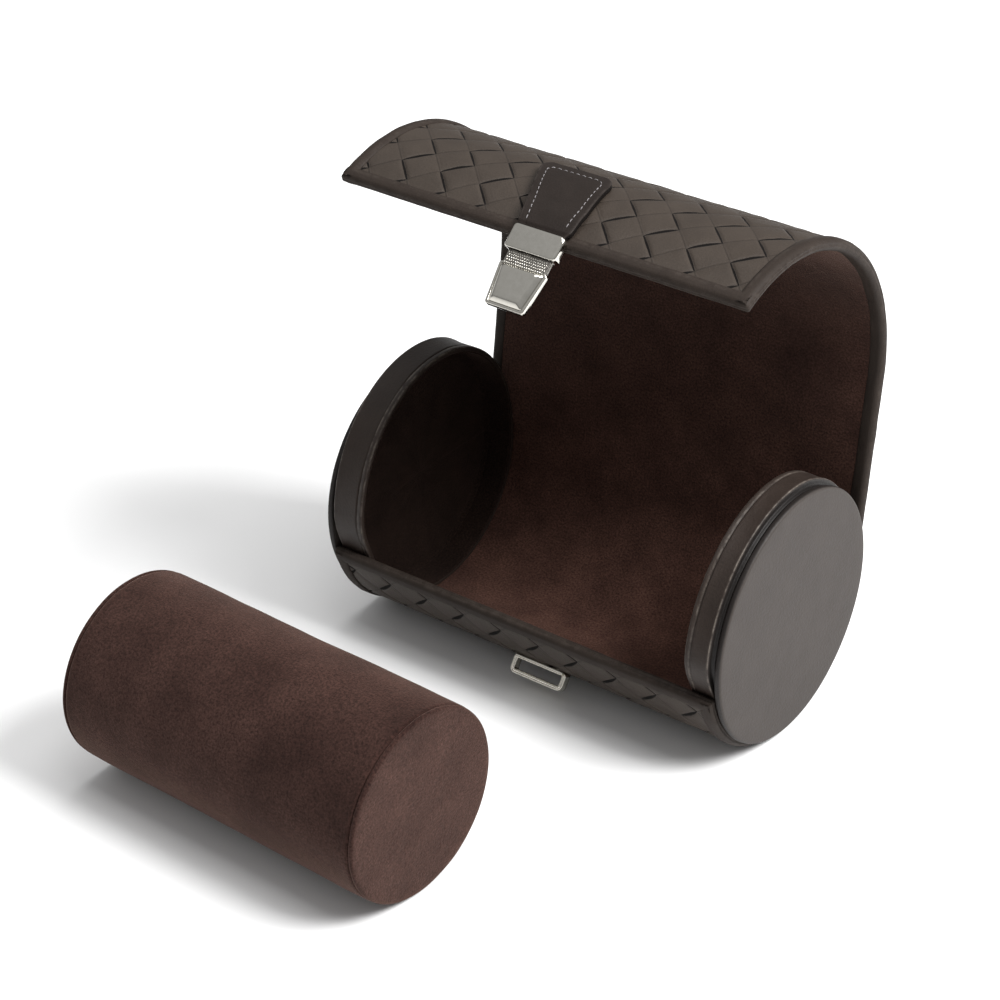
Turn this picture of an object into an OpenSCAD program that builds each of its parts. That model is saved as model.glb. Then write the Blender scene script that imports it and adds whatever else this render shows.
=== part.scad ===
// Travel case for wrist watches: a leather tube that stands open on its round
// belly, two shallow end cups, a lid that unrolls from the back wall, a tuck
// clasp on a tab with its keeper loop, and a loose cushion for the watches.
// The case's axis lies along X. The lid's outline is drawn in its own frame,
// which starts where the sheet leaves the round base at the back.

/* [Shell sheet] */
// Outer radius of the round base
shell_r = 43.3; // [40:0.1:50]
// Height of the case's axis above the floor
axis_z = 42.5; // [39:0.1:49.5]
// Half length of the leather shell along its axis
shell_half = 73.6; // [60:0.1:95]
// Thickness of the outer leather
leather_t = 1.4; // [1:0.1:2]
// Thickness of the stiffener between the leather and the lining
stiffener_t = 1.0; // [0.6:0.1:1.5]
// Thickness of the suede lining
lining_t = 0.6; // [0.4:0.1:1]
// Angle below the front horizontal at which the base ends in its lip
lip_angle = 14; // [8:1:22]
// Glue line between two layers
glue_gap = 0.05; // [0.02:0.01:0.1]

/* [Edge binding] */
// Width of the binding on the outer face
binding_w = 4.7; // [3.5:0.1:6]
// Height of the binding above the outer face
binding_up = 0.7; // [0.4:0.1:1]
// Height of the binding above the lined face
binding_in = 0.3; // [0.2:0.05:0.4]

/* [Lid] */
// Angle by which the back wall leans backwards
wall_lean = 7; // [3:0.5:10]
// Height of the straight wall up to the start of the curl
wall_h = 65.9; // [60:0.1:75]
// Outer radius of the curled lid
curl_r = 58.2; // [52:0.1:64]
// Angle that the curl turns through
curl_turn = 121; // [105:1:130]
// Heights of the four fold lines in the wall
wall_folds = [5, 21, 37, 53];
// Angles of the two fold lines in the curl
curl_folds = [35, 78];
// Gap between two lid panels at a fold line
fold_gap = 0.2; // [0.1:0.05:0.4]

/* [End cups] */
// Radius of the padded end disc
disc_r = 42; // [39:0.1:48]
// Thickness of the padded end disc
disc_t = 2.2; // [1.5:0.1:3]
// Gap between the shell's end and the end disc
disc_gap = 0.3; // [0.2:0.1:1]
// Depth of a cup from its rim to the shell's end
cup_depth = 9.6; // [7:0.1:14]
// Clearance between the shell's lining and the cup's band
cup_gap = 0.3; // [0.2:0.05:0.5]
// Thickness of the leather band round a cup
band_t = 1.25; // [0.8:0.05:1.6]
// Thickness of the cup's board wall
cup_wall = 1.5; // [1:0.1:2]
// Thickness of the cup's board bottom
cup_floor = 2.2; // [1.5:0.1:3]
// Radius of the rolled rim of a cup
rim_r = 0.9; // [0.6:0.1:1.2]

/* [Clasp and tab] */
// Place of the tab, the clasp and the keeper along the case
clasp_x = 2.2; // [-5:0.1:5]
// Length of the tab that is stitched to the lid
tab_len = 25; // [16:0.5:28]
// Width of the tab at its round end
tab_w = 25; // [20:0.5:30]
// Width of the tab at the clasp
tab_neck_w = 19; // [17:0.5:20]
// Thickness of the tab
tab_t = 2; // [1.6:0.1:2.4]
// Angle by which the clasp hangs inwards from the line of the lid
tab_hang = 18; // [14:1:20]
// Width of the ferrule
ferrule_w = 18.4; // [16:0.1:19]
// Length of the ferrule
ferrule_l = 7.8; // [7:0.1:9]
// Thickness of the ferrule
ferrule_t = 4.2; // [3.8:0.1:4.6]
// Wall of the ferrule
ferrule_wall = 0.6; // [0.4:0.05:0.7]
// Length of the ribbed neck between the ferrule and the nose
neck_l = 4.8; // [4.6:0.1:5.4]
// Width of the neck
neck_w = 14.8; // [13:0.1:15.2]
// Length of the nose
nose_l = 13; // [11:0.1:15]
// Width of the nose at its shoulder
nose_w = 16.2; // [14:0.1:16.6]
// Width of the nose at its tip
nose_tip_w = 13.4; // [11:0.1:14]
// Radius of the catch's pin
pin_r = 0.55; // [0.45:0.05:0.6]

/* [Keeper] */
// Angle below the front horizontal at which the keeper stands
keeper_angle = 47.3; // [45:0.1:50]
// Angle by which the keeper leans away from the lid
keeper_tilt = 7; // [4:0.5:9]
// Width of the keeper's window
keeper_window_w = 17.4; // [17:0.1:18.2]
// Height of the keeper's window
keeper_window_h = 4.2; // [4:0.1:4.6]
// Thickness of the keeper's metal
keeper_metal = 1.1; // [0.8:0.1:1.4]
// Thickness of the keeper's foot on the leather
keeper_foot = 0.7; // [0.6:0.1:1]
// Depth of the keeper along the case's skin
keeper_depth = 3.4; // [2.8:0.1:3.8]

/* [Cushion] */
// Radius of the cushion
cushion_r = 30.8; // [26:0.1:34]
// Length of the cushion
cushion_l = 116; // [90:1:122]
// Thickness of the cushion's suede
cushion_suede = 0.85; // [0.5:0.05:1.2]
// Radius of the board tube in the cushion
cushion_core_r = 25; // [15:0.5:25.5]
// Place of the cushion along the case
cushion_x = -23.7; // [-40:0.1:0]
// Distance of the cushion's axis in front of the case's axis
cushion_y = 130; // [125:1:160]
// Turn of the cushion seen from above
cushion_yaw = -2; // [-6:0.5:6]

/* [Hidden] */
$fn = 96;

leather_brown = "#3a2f2b";
binding_brown = "#40342e";
lining_brown = "#3c2620";
board_grey = "#8a7a66";
suede_brown = "#4f3730";
nickel = "#cfccc2";
foam_white = "#d9d2c2";

sheet_t = leather_t + stiffener_t + lining_t;
eps = 0.01;
far = 400;

// Angles on the base, counted from the back (+Y) towards the top
back_angle = 360 - wall_lean;
front_angle = 180 + lip_angle;

// The roll at an edge: a half round as thick as the bound sheet
roll_t = sheet_t + binding_up + binding_in;
roll_mid = (binding_up - sheet_t - binding_in) / 2;
roll_web = 0.3;
edge_inset = roll_t / 2 + roll_web + 0.1;
base_roll_t = sheet_t + binding_up;
base_half = shell_half - base_roll_t / 2 - roll_web - 0.1;
bead_extra = 0.3;

// Depths of the layers below the outer face: [outer, inner]
leather_layer = [0, leather_t - glue_gap];
stiffener_layer = [leather_t, leather_t + stiffener_t - glue_gap];
lining_layer = [leather_t + stiffener_t, sheet_t];

// ---------------------------------------------------------------- outlines

function polar(r, a) = [r * cos(a), r * sin(a)];

// Degrees that a length takes on the curl's outer face
function curl_deg(length) = length / curl_r * 180 / PI;

// Degrees that a length takes on the base's outer face
function base_deg(length) = length / shell_r * 180 / PI;

// Ring sector from radius r1 to r2 between two angles less than 180 apart
module sector(r1, r2, a1, a2) {
    mid = (a1 + a2) / 2;
    reach = 2 * r2;
    intersection() {
        difference() {
            circle(r2);
            circle(r1);
        }
        polygon([[0, 0], polar(reach, a1), polar(reach, mid), polar(reach, a2)]);
    }
}

// Ring sector of any turn, in two halves
module long_sector(r1, r2, a1, a2) {
    mid = (a1 + a2) / 2;
    sector(r1, r2, a1, mid + eps);
    sector(r1, r2, mid - eps, a2);
}

// Stands an outline drawn in the YZ plane up along X, from x1 to x2
module along_x(x1, x2) {
    translate([x1, 0, 0])
        rotate([90, 0, 90])
            linear_extrude(x2 - x1)
                children();
}

// The lid's frame: X outwards through the wall, Y up the wall
module lid_frame_2d() {
    translate([shell_r * cos(back_angle), axis_z + shell_r * sin(back_angle)])
        rotate(-wall_lean)
            children();
}

// The lid's frame in space: the same two axes, and Z along the case
module lid_frame() {
    translate([0, shell_r * cos(back_angle), axis_z + shell_r * sin(back_angle)])
        rotate([-wall_lean, 0, 0])
            rotate([90, 0, 90])
                children();
}

curl_centre = [-curl_r, wall_h];

module at_curl() {
    translate(curl_centre)
        children();
}

// Straight stretch of one layer in the lid's frame
module wall_layer(s1, s2, layer) {
    translate([-layer[1], s1])
        square([layer[1] - layer[0], s2 - s1]);
}

// Curled stretch of one layer in the lid's frame
module curl_layer(a1, a2, layer) {
    at_curl()
        sector(curl_r - layer[1], curl_r - layer[0], a1, a2);
}

// One layer of lid panel 1 to 6, less half a fold gap at each fold line
module panel_outline(number, layer) {
    half_gap = fold_gap / 2;
    gap_deg = curl_deg(half_gap);
    if (number <= 3)
        wall_layer(wall_folds[number - 1] + half_gap, wall_folds[number] - half_gap, layer);
    if (number == 4) {
        wall_layer(wall_folds[3] + half_gap, wall_h, layer);
        curl_layer(0, curl_folds[0] - gap_deg, layer);
    }
    if (number == 5)
        curl_layer(curl_folds[0] + gap_deg, curl_folds[1] - gap_deg, layer);
    if (number == 6)
        curl_layer(curl_folds[1] + gap_deg, curl_turn - curl_deg(edge_inset), layer);
}

// One layer of the base: the arc and the stub of wall below the first fold
module base_outline(layer) {
    translate([0, axis_z])
        long_sector(shell_r - layer[1], shell_r - layer[0],
            front_angle + base_deg(edge_inset), back_angle);
    lid_frame_2d()
        wall_layer(-eps, wall_folds[0] - fold_gap / 2, layer);
}

// Section through the bound edge of the lid. X is the height above the outer
// face, Y the distance from the edge.
module binding_profile() {
    intersection() {
        translate([roll_mid, roll_t / 2])
            circle(d = roll_t, $fn = 48);
        translate([-far / 2, 0])
            square([far, roll_t / 2]);
    }
    translate([roll_mid - roll_t / 2, roll_t / 2 - eps])
        square([roll_t, roll_web]);
    translate([glue_gap, roll_t / 2 - eps])
        flange_profile(binding_up - glue_gap);
    translate([-sheet_t - glue_gap, roll_t / 2 - eps])
        mirror([1, 0])
            flange_profile(binding_in - glue_gap);
}

// Flange of a binding, with its free edge rounded down to the leather
module flange_profile(height) {
    reach = binding_w - roll_t / 2;
    square([height, reach - height]);
    intersection() {
        translate([0, reach - height])
            circle(height, $fn = 32);
        square([height, reach]);
    }
}

// Section through the end edge of the base, which has no inner flange
// because the cup's band lies there
module base_edge_profile() {
    half = base_roll_t / 2;
    intersection() {
        translate([binding_up - half, half])
            circle(half, $fn = 48);
        translate([-far / 2, 0])
            square([far, half]);
    }
    translate([-sheet_t, half])
        square([base_roll_t, roll_web]);
    translate([glue_gap, half])
        flange_profile(binding_up - glue_gap);
}

// ---------------------------------------------------------------- lid

module panel_solid(number, layer) {
    inner_half = shell_half - edge_inset;
    lid_frame()
        translate([0, 0, -inner_half])
            linear_extrude(2 * inner_half)
                panel_outline(number, layer);
}

// Straight piece of end binding, in the lid's frame
module wall_binding(s1, s2) {
    for (side = [0, 1])
        mirror([0, 0, side])
            translate([0, s2, -shell_half])
                rotate([90, 0, 0])
                    linear_extrude(s2 - s1)
                        binding_profile();
}

// Curled piece of end binding, in the lid's frame
module curl_binding(a1, a2) {
    translate([curl_centre[0], curl_centre[1], 0])
        for (side = [0, 1])
            mirror([0, 0, side])
                rotate([0, 0, a1])
                    translate([0, 0, -shell_half])
                        rotate_extrude(angle = a2 - a1)
                            translate([curl_r, 0])
                                binding_profile();
}

// Outline of a bound edge along X, on an arc of the sheet: a bead at the edge
// and the binding behind it. The sheet lies on the side of larger angles
// where dir is 1, and of smaller ones where it is -1.
module edge_outline(radius, angle, dir, low, high) {
    bead_r = (high - low + bead_extra) / 2;
    per_mm = dir / radius * 180 / PI;
    a1 = angle + bead_r * per_mm;
    a2 = angle + binding_w * per_mm;
    translate(polar(radius + (high + low) / 2, a1))
        circle(bead_r, $fn = 48);
    sector(radius + low, radius + high, min(a1, a2), max(a1, a2));
}

// The slot in a bound edge that takes the sheet
module edge_slot(radius, angle, dir, low) {
    per_mm = dir / radius * 180 / PI;
    a1 = angle + (edge_inset - 0.1) * per_mm;
    a2 = angle + 2 * binding_w * per_mm;
    sector(radius + low, radius + glue_gap, min(a1, a2), max(a1, a2));
}

module front_edge_binding() {
    slot_half = shell_half - edge_inset + glue_gap;
    lid_frame()
        difference() {
            translate([curl_centre[0], curl_centre[1], -shell_half])
                linear_extrude(2 * shell_half)
                    edge_outline(curl_r, curl_turn, -1, -sheet_t - binding_in, binding_up);
            translate([curl_centre[0], curl_centre[1], -slot_half])
                linear_extrude(2 * slot_half)
                    edge_slot(curl_r, curl_turn, -1, -sheet_t - glue_gap);
        }
}

module panel_binding(number) {
    half_gap = fold_gap / 2;
    gap_deg = curl_deg(half_gap);
    lid_frame() {
        if (number <= 3)
            wall_binding(wall_folds[number - 1] + half_gap, wall_folds[number] - half_gap);
        if (number == 4) {
            wall_binding(wall_folds[3] + half_gap, wall_h + eps);
            curl_binding(0, curl_folds[0] - gap_deg);
        }
        if (number == 5)
            curl_binding(curl_folds[0] + gap_deg, curl_folds[1] - gap_deg);
        if (number == 6)
            curl_binding(curl_folds[1] + gap_deg, curl_turn - curl_deg(binding_w + glue_gap));
    }
    if (number == 6)
        front_edge_binding();
}

module lid_leather(number) {
    color(leather_brown)
        panel_solid(number, leather_layer);
}

module lid_stiffener(number) {
    color(board_grey)
        panel_solid(number, stiffener_layer);
}

module lid_lining(number) {
    color(lining_brown)
        panel_solid(number, lining_layer);
}

module lid_binding(number) {
    color(binding_brown)
        panel_binding(number);
}

// ---------------------------------------------------------------- base

// Everything above the floor, which flattens the belly where it rests
module above_floor() {
    intersection() {
        children();
        translate([-far / 2, -far / 2, 0])
            cube(far);
    }
}

module base_layer(layer) {
    along_x(-base_half, base_half)
        base_outline(layer);
}

rivet_r = 0.9;
rivet_x = 6;
rivet_gap = 0.05;

// Holes for the keeper's rivets through the base's front
module rivet_holes(radius) {
    for (side = [-1, 1])
        keeper_frame()
            translate([side * rivet_x, 0, 0])
                cylinder(r = radius, h = 2 * sheet_t, center = true, $fn = 32);
}

module base_leather() {
    color(leather_brown)
        difference() {
            above_floor()
                base_layer(leather_layer);
            rivet_holes(rivet_r + rivet_gap);
        }
}

backplate_w = 15;
backplate_d = 5;
backplate_t = 0.5;

module base_stiffener() {
    color(board_grey)
        difference() {
            base_layer(stiffener_layer);
            rivet_holes(rivet_r + rivet_gap);
            keeper_frame()
                translate([0, 0, -leather_t - stiffener_t / 2])
                    cube([backplate_w + 0.4, backplate_d + 0.4, 2 * stiffener_t], center = true);
        }
}

module base_lining() {
    color(lining_brown)
        base_layer(lining_layer);
}

module base_end_bindings() {
    start = front_angle + base_deg(binding_w + glue_gap);
    for (side = [0, 1])
        mirror([side, 0, 0]) {
            translate([-shell_half, 0, axis_z])
                rotate([90, 0, 90])
                    rotate([0, 0, start])
                        rotate_extrude(angle = back_angle - start)
                            translate([shell_r, 0])
                                base_edge_profile();
            lid_frame()
                translate([0, wall_folds[0] - fold_gap / 2, -shell_half])
                    rotate([90, 0, 0])
                        linear_extrude(wall_folds[0] - fold_gap / 2 - glue_gap)
                            base_edge_profile();
        }
}

module lip_binding() {
    slot_half = base_half + glue_gap;
    difference() {
        along_x(-shell_half, shell_half)
            translate([0, axis_z])
                edge_outline(shell_r, front_angle, 1, -sheet_t, binding_up);
        along_x(-slot_half, slot_half)
            translate([0, axis_z])
                edge_slot(shell_r, front_angle, 1, -sheet_t - 1);
    }
}

module base_binding() {
    color(binding_brown)
        above_floor() {
            base_end_bindings();
            lip_binding();
        }
}

// ---------------------------------------------------------------- end cups

band_r = shell_r - sheet_t - cup_gap;
board_r = band_r - band_t - glue_gap;
cup_rim_x = shell_half - cup_depth;
disc_x = shell_half + disc_gap;
board_end_x = disc_x - glue_gap;
cup_inner_r = board_r - cup_wall - glue_gap;
cup_inner_x = board_end_x - cup_floor - glue_gap;

// Turns an outline of radius (X) and place along the case (Y) round the
// case's axis; side is 1 for the right-hand end and -1 for the left.
module turned(side) {
    translate([0, 0, axis_z])
        mirror([side < 0 ? 1 : 0, 0, 0])
            rotate([90, 0, 90])
                rotate_extrude($fn = 144)
                    children();
}

disc_edge_r = 0.9;

module end_disc(side) {
    color(leather_brown)
        turned(side)
            translate([0, disc_x]) {
                square([disc_r - disc_edge_r, disc_t]);
                translate([0, 0])
                    square([disc_r, disc_t - disc_edge_r]);
                translate([disc_r - disc_edge_r, disc_t - disc_edge_r])
                    circle(disc_edge_r, $fn = 32);
            }
}

module cup_board(side) {
    color(board_grey)
        turned(side) {
            translate([0, board_end_x - cup_floor])
                square([board_r, cup_floor]);
            translate([board_r - cup_wall, cup_rim_x + 2 * rim_r + glue_gap])
                square([cup_wall, board_end_x - cup_rim_x - 2 * rim_r - glue_gap]);
        }
}

bead_w = 1.4;
bead_groove = 0.35;

// Leather band with its rolled rim, and a bead along the shell's end
module cup_band(side) {
    rim_w = band_r - cup_inner_r;
    color(binding_brown)
        turned(side)
            difference() {
                union() {
                    translate([band_r - band_t, cup_rim_x + rim_r])
                        square([band_t, board_end_x - cup_rim_x - rim_r]);
                    translate([cup_inner_r + rim_r, cup_rim_x])
                        square([rim_w - 2 * rim_r, 2 * rim_r]);
                    for (r = [cup_inner_r + rim_r, band_r - rim_r])
                        translate([r, cup_rim_x + rim_r])
                            circle(rim_r, $fn = 32);
                }
                for (x = [cup_rim_x + 3 * rim_r, disc_x - bead_w])
                    translate([band_r + bead_groove / 2, x])
                        circle(bead_groove, $fn = 24);
            }
}

module cup_lining(side) {
    color(lining_brown)
        turned(side) {
            translate([0, cup_inner_x - lining_t])
                square([cup_inner_r, lining_t]);
            translate([cup_inner_r - lining_t, cup_rim_x + 2 * rim_r + glue_gap])
                square([lining_t, cup_inner_x - cup_rim_x - 2 * rim_r - glue_gap]);
        }
}

// ---------------------------------------------------------------- tab, clasp

tab_gap = 0.1;
tab_rise = binding_up + tab_gap;
ferrule_start = 1.3;
tab_end_start = -0.85;
tab_end_l = 3.6;
tab_end_w = ferrule_w - 2 * ferrule_wall - 0.4;

// Frame on the curl's outer face at an angle: X along the case, Y onwards
// over the lid's edge, Z out of the lid
module curl_frame(angle) {
    lid_frame()
        translate([curl_centre[0], curl_centre[1], 0])
            rotate([0, 0, angle])
                translate([curl_r, 0, clasp_x])
                    rotate([0, 90, 0])
                        children();
}

// Frame of the hanging clasp, which turns on the tab's outer face at the
// lid's edge: Y towards the nose's tip, Z out of the case, with its origin in
// the middle of the ferrule's rear end
module clasp_frame() {
    curl_frame(curl_turn)
        translate([0, 0, tab_rise + tab_t])
            rotate([-tab_hang, 0, 0])
                translate([0, ferrule_start, -tab_t / 2])
                    children();
}

tab_corner_r = 4;

// Outline of the tab on the lid, with its round end at the back
module tab_plan() {
    half = tab_w / 2 - tab_corner_r;
    back = -tab_len / 2 + tab_corner_r;
    hull() {
        for (side = [-1, 1])
            translate([side * half, back])
                circle(tab_corner_r, $fn = 32);
        translate([-tab_neck_w / 2, tab_len / 2])
            square([tab_neck_w, 1]);
    }
}

// The tab lies on the woven leather and runs up over the front binding
module tab_leather() {
    inner_r = curl_r + glue_gap;
    outer_r = curl_r + tab_rise + tab_t;
    back_edge = curl_turn - curl_deg(tab_len + 4);
    front_edge = curl_turn - curl_deg(0.4);
    binding_edge = curl_turn - curl_deg(binding_w + 0.4);
    color(leather_brown)
        intersection() {
            lid_frame()
                translate([curl_centre[0], curl_centre[1], -tab_w])
                    linear_extrude(2 * tab_w) {
                        sector(curl_r + tab_rise, outer_r, back_edge, front_edge);
                        sector(inner_r, outer_r, back_edge, binding_edge);
                    }
            curl_frame(curl_turn - curl_deg(tab_len / 2))
                translate([0, 0, -tab_w])
                    linear_extrude(2 * tab_w)
                        tab_plan();
        }
}

clasp_rivet_r = 0.8;
clasp_rivet_x = 5;
clasp_rivet_y = 1.8;

module at_clasp_rivets() {
    for (side = [-1, 1])
        translate([side * clasp_rivet_x, clasp_rivet_y, 0])
            children();
}

// End of the tab inside the ferrule
module tab_end() {
    color(leather_brown)
        clasp_frame()
            difference() {
                translate([-tab_end_w / 2, tab_end_start, -tab_t / 2])
                    cube([tab_end_w, tab_end_l - tab_end_start, tab_t]);
                at_clasp_rivets()
                    cylinder(r = clasp_rivet_r + rivet_gap, h = ferrule_t, center = true, $fn = 32);
            }
}

pin_y = 5.2;
pin_gap = 0.06;

module rounded_plan(w, l, r) {
    hull()
        for (x = [-w / 2 + r, w / 2 - r])
            for (y = [r, l - r])
                translate([x, y])
                    circle(r, $fn = 32);
}

ferrule_corner_r = 1;

module clasp_ferrule() {
    cavity_w = ferrule_w - 2 * ferrule_wall;
    cavity_t = ferrule_t - 2 * ferrule_wall;
    color(nickel)
        clasp_frame()
            difference() {
                translate([0, 0, -ferrule_t / 2])
                    linear_extrude(ferrule_t)
                        rounded_plan(ferrule_w, ferrule_l, ferrule_corner_r);
                translate([-cavity_w / 2, -1, -cavity_t / 2])
                    cube([cavity_w, ferrule_l + 2, cavity_t]);
                at_clasp_rivets()
                    translate([0, 0, -ferrule_t])
                        cylinder(r = clasp_rivet_r + rivet_gap, h = ferrule_t, $fn = 32);
                translate([0, pin_y, 0])
                    rotate([0, 90, 0])
                        cylinder(r = pin_r + 0.02, h = 2 * ferrule_w, center = true, $fn = 32);
            }
}

// Rivets through the ferrule's inner face and the tab, closed by a low head
module ferrule_rivets() {
    top = ferrule_t / 2 - ferrule_wall - glue_gap;
    color(nickel)
        clasp_frame()
            at_clasp_rivets() {
                translate([0, 0, -ferrule_t / 2 - 0.3])
                    cylinder(r = clasp_rivet_r, h = top + ferrule_t / 2 + 0.3, $fn = 32);
                translate([0, 0, -ferrule_t / 2 - 0.35])
                    cylinder(r = clasp_rivet_r + 0.4, h = 0.3, $fn = 32);
            }
}

module catch_pin() {
    color(nickel)
        clasp_frame()
            translate([0, pin_y, 0])
                rotate([0, 90, 0])
                    cylinder(r = pin_r, h = ferrule_w, center = true, $fn = 32);
}

barrel_r = 1.2;
plate_t = 1.2;
neck_gap = 0.4;
neck_low = -1.4;
neck_high = 0.2;
rib_h = 0.25;
rib_w = 0.45;
rib_count = 17;
tenon_l = 4;
tenon_w = 10;
nose_start = ferrule_l + neck_l;

// Plate that turns on the pin, with the ribbed neck in front of the ferrule
// and a tenon that carries the nose
module clasp_tongue() {
    neck_start = ferrule_l + neck_gap;
    rib_pitch = (neck_w - rib_w) / (rib_count - 1);
    color(nickel)
        clasp_frame()
            difference() {
                union() {
                    translate([0, pin_y, 0])
                        rotate([0, 90, 0])
                            cylinder(r = barrel_r, h = neck_w, center = true, $fn = 48);
                    translate([-neck_w / 2, pin_y, -plate_t / 2])
                        cube([neck_w, nose_start - pin_y - glue_gap, plate_t]);
                    translate([-neck_w / 2, neck_start, neck_low])
                        cube([neck_w, nose_start - neck_start - glue_gap, neck_high - neck_low]);
                    translate([-tenon_w / 2, pin_y, -plate_t / 2])
                        cube([tenon_w, nose_start - pin_y + tenon_l, plate_t]);
                    for (i = [0 : rib_count - 1])
                        translate([-neck_w / 2 + i * rib_pitch, neck_start, neck_high - eps])
                            cube([rib_w, nose_start - neck_start - glue_gap, rib_h + eps]);
                }
                translate([0, pin_y, 0])
                    rotate([0, 90, 0])
                        cylinder(r = pin_r + pin_gap, h = 2 * neck_w, center = true, $fn = 32);
            }
}

nose_low = -1.6;
nose_edge = 0.9;
nose_shoulder = 1.7;
nose_top = 2;
nose_bevel = 0.9;
plateau_inset = 1.7;
plateau_bevel = 0.45;

// Slab of the nose's tapering outline, inset all round, between two heights
module nose_slab(inset, z1, z2) {
    w1 = nose_w / 2 - inset;
    w2 = nose_tip_w / 2 - inset;
    translate([0, nose_start, z1])
        linear_extrude(z2 - z1)
            polygon([[-w1, inset], [w1, inset], [w2, nose_l - inset], [-w2, nose_l - inset]]);
}

// Bevelled block of the nose, with a raised plateau on its face
module clasp_nose() {
    tenon_gap = 0.05;
    color(nickel)
        clasp_frame()
            difference() {
                union() {
                    nose_slab(0, nose_low, nose_edge);
                    hull() {
                        nose_slab(0, nose_edge - eps, nose_edge);
                        nose_slab(nose_bevel, nose_shoulder - eps, nose_shoulder);
                    }
                    hull() {
                        nose_slab(plateau_inset, nose_shoulder - 2 * eps, nose_shoulder);
                        nose_slab(plateau_inset + plateau_bevel, nose_top - eps, nose_top);
                    }
                }
                translate([-tenon_w / 2 - tenon_gap, nose_start - 1, -plate_t / 2 - tenon_gap])
                    cube([tenon_w + 2 * tenon_gap, tenon_l + 1 + tenon_gap, plate_t + 2 * tenon_gap]);
            }
}

spring_wire_r = 0.17;
spring_turns = 3;

// Small torsion spring on the pin's end, whose leg shows beside the neck
module catch_spring() {
    coil_in = pin_r + 0.1;
    coil_r = coil_in + spring_wire_r;
    coil_x = -neck_w / 2 - 0.55;
    pitch = 1.8 * spring_wire_r;
    leg_l = ferrule_l + neck_l - 1.2 - pin_y;
    color(nickel)
        clasp_frame()
            translate([coil_x, pin_y, 0]) {
                rotate([0, 90, 0])
                    rotate_extrude($fn = 48) {
                        translate([coil_in, -pitch])
                            square([spring_wire_r, 2 * pitch]);
                        for (i = [-1 : spring_turns - 2])
                            translate([coil_r, i * pitch])
                                circle(spring_wire_r, $fn = 24);
                    }
                translate([0, coil_r, 0])
                    rotate([-90, 0, 0])
                        cylinder(r = spring_wire_r, h = leg_l - coil_r, $fn = 24);
            }
}

// ---------------------------------------------------------------- keeper

// Frame on the base's skin at the keeper: Y down along the skin, Z outwards
module keeper_frame() {
    translate([clasp_x, 0, axis_z])
        rotate([180 + keeper_angle, 0, 0])
            translate([0, shell_r, 0])
                rotate([90, 0, 180])
                    children();
}

module keeper_loop() {
    arm_w = keeper_metal;
    outer_w = keeper_window_w + 2 * arm_w;
    loop_h = keeper_window_h + keeper_metal;
    lip = 0.5;
    color(nickel)
        keeper_frame() {
            translate([-outer_w / 2 - lip, -keeper_depth / 2 - lip, glue_gap])
                cube([outer_w + 2 * lip, keeper_depth + 2 * lip, keeper_foot]);
            translate([0, 0, glue_gap + keeper_foot])
                rotate([-keeper_tilt, 0, 0])
                    translate([0, -keeper_depth / 2, 0])
                        difference() {
                            translate([-outer_w / 2, 0, -keeper_foot / 2])
                                cube([outer_w, keeper_depth, loop_h + keeper_foot / 2]);
                            translate([-keeper_window_w / 2, -1, -keeper_foot])
                                cube([keeper_window_w, keeper_depth + 2, keeper_window_h + keeper_foot]);
                        }
        }
}

backplate_low = leather_t + 0.15;

module keeper_backplate() {
    color(nickel)
        keeper_frame()
            difference() {
                translate([-backplate_w / 2, -backplate_d / 2, -backplate_low - backplate_t])
                    cube([backplate_w, backplate_d, backplate_t]);
                for (side = [-1, 1])
                    translate([side * rivet_x, 0, 0])
                        cylinder(r = rivet_r + rivet_gap, h = 2 * sheet_t, center = true, $fn = 32);
            }
}

module keeper_rivets() {
    head_h = 0.25;
    bottom = -backplate_low - backplate_t - head_h;
    color(nickel)
        keeper_frame()
            for (side = [-1, 1])
                translate([side * rivet_x, 0, bottom]) {
                    cylinder(r = rivet_r, h = -bottom + glue_gap / 2, $fn = 32);
                    cylinder(r = rivet_r + 0.5, h = head_h - 0.03, $fn = 32);
                }
}

// ---------------------------------------------------------------- cushion

cushion_end_t = 1.6;
cushion_edge_r = 1.2;
cushion_body_l = cushion_l - 2 * cushion_end_t - 2 * glue_gap;
plug_t = 3;

// Frame of the cushion: Z along its axis, on the floor in front of the case
module cushion_frame() {
    translate([cushion_x, -cushion_y, cushion_r])
        rotate([0, 0, cushion_yaw])
            rotate([0, 90, 0])
                children();
}

module cushion_tube(r1, r2, length) {
    cushion_frame()
        translate([0, 0, -length / 2])
            rotate_extrude($fn = 144)
                translate([r1, 0])
                    square([r2 - r1, length]);
}

module cushion_core() {
    color(board_grey)
        cushion_tube(cushion_core_r - 1.5, cushion_core_r, cushion_body_l);
}

module cushion_foam() {
    color(foam_white)
        cushion_tube(cushion_core_r + glue_gap, cushion_r - cushion_suede - glue_gap, cushion_body_l);
}

module cushion_cover() {
    color(suede_brown)
        cushion_tube(cushion_r - cushion_suede, cushion_r, cushion_body_l);
}

module cushion_plug(side) {
    color(board_grey)
        cushion_frame()
            translate([0, 0, side * (cushion_body_l - plug_t) / 2])
                cylinder(r = cushion_core_r - 1.5 - glue_gap, h = plug_t, center = true, $fn = 96);
}

// Suede end disc with a soft edge, sewn to the cover all round
module cushion_end(side) {
    color(suede_brown)
        cushion_frame()
            mirror([0, 0, side < 0 ? 1 : 0])
                translate([0, 0, cushion_l / 2 - cushion_end_t])
                    rotate_extrude($fn = 144) {
                        square([cushion_r - cushion_edge_r, cushion_end_t]);
                        intersection() {
                            translate([cushion_r - cushion_edge_r, cushion_end_t - cushion_edge_r])
                                circle(cushion_edge_r, $fn = 32);
                            square([cushion_r, cushion_end_t]);
                        }
                    }
}

// ---------------------------------------------------------------- nodes

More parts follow.
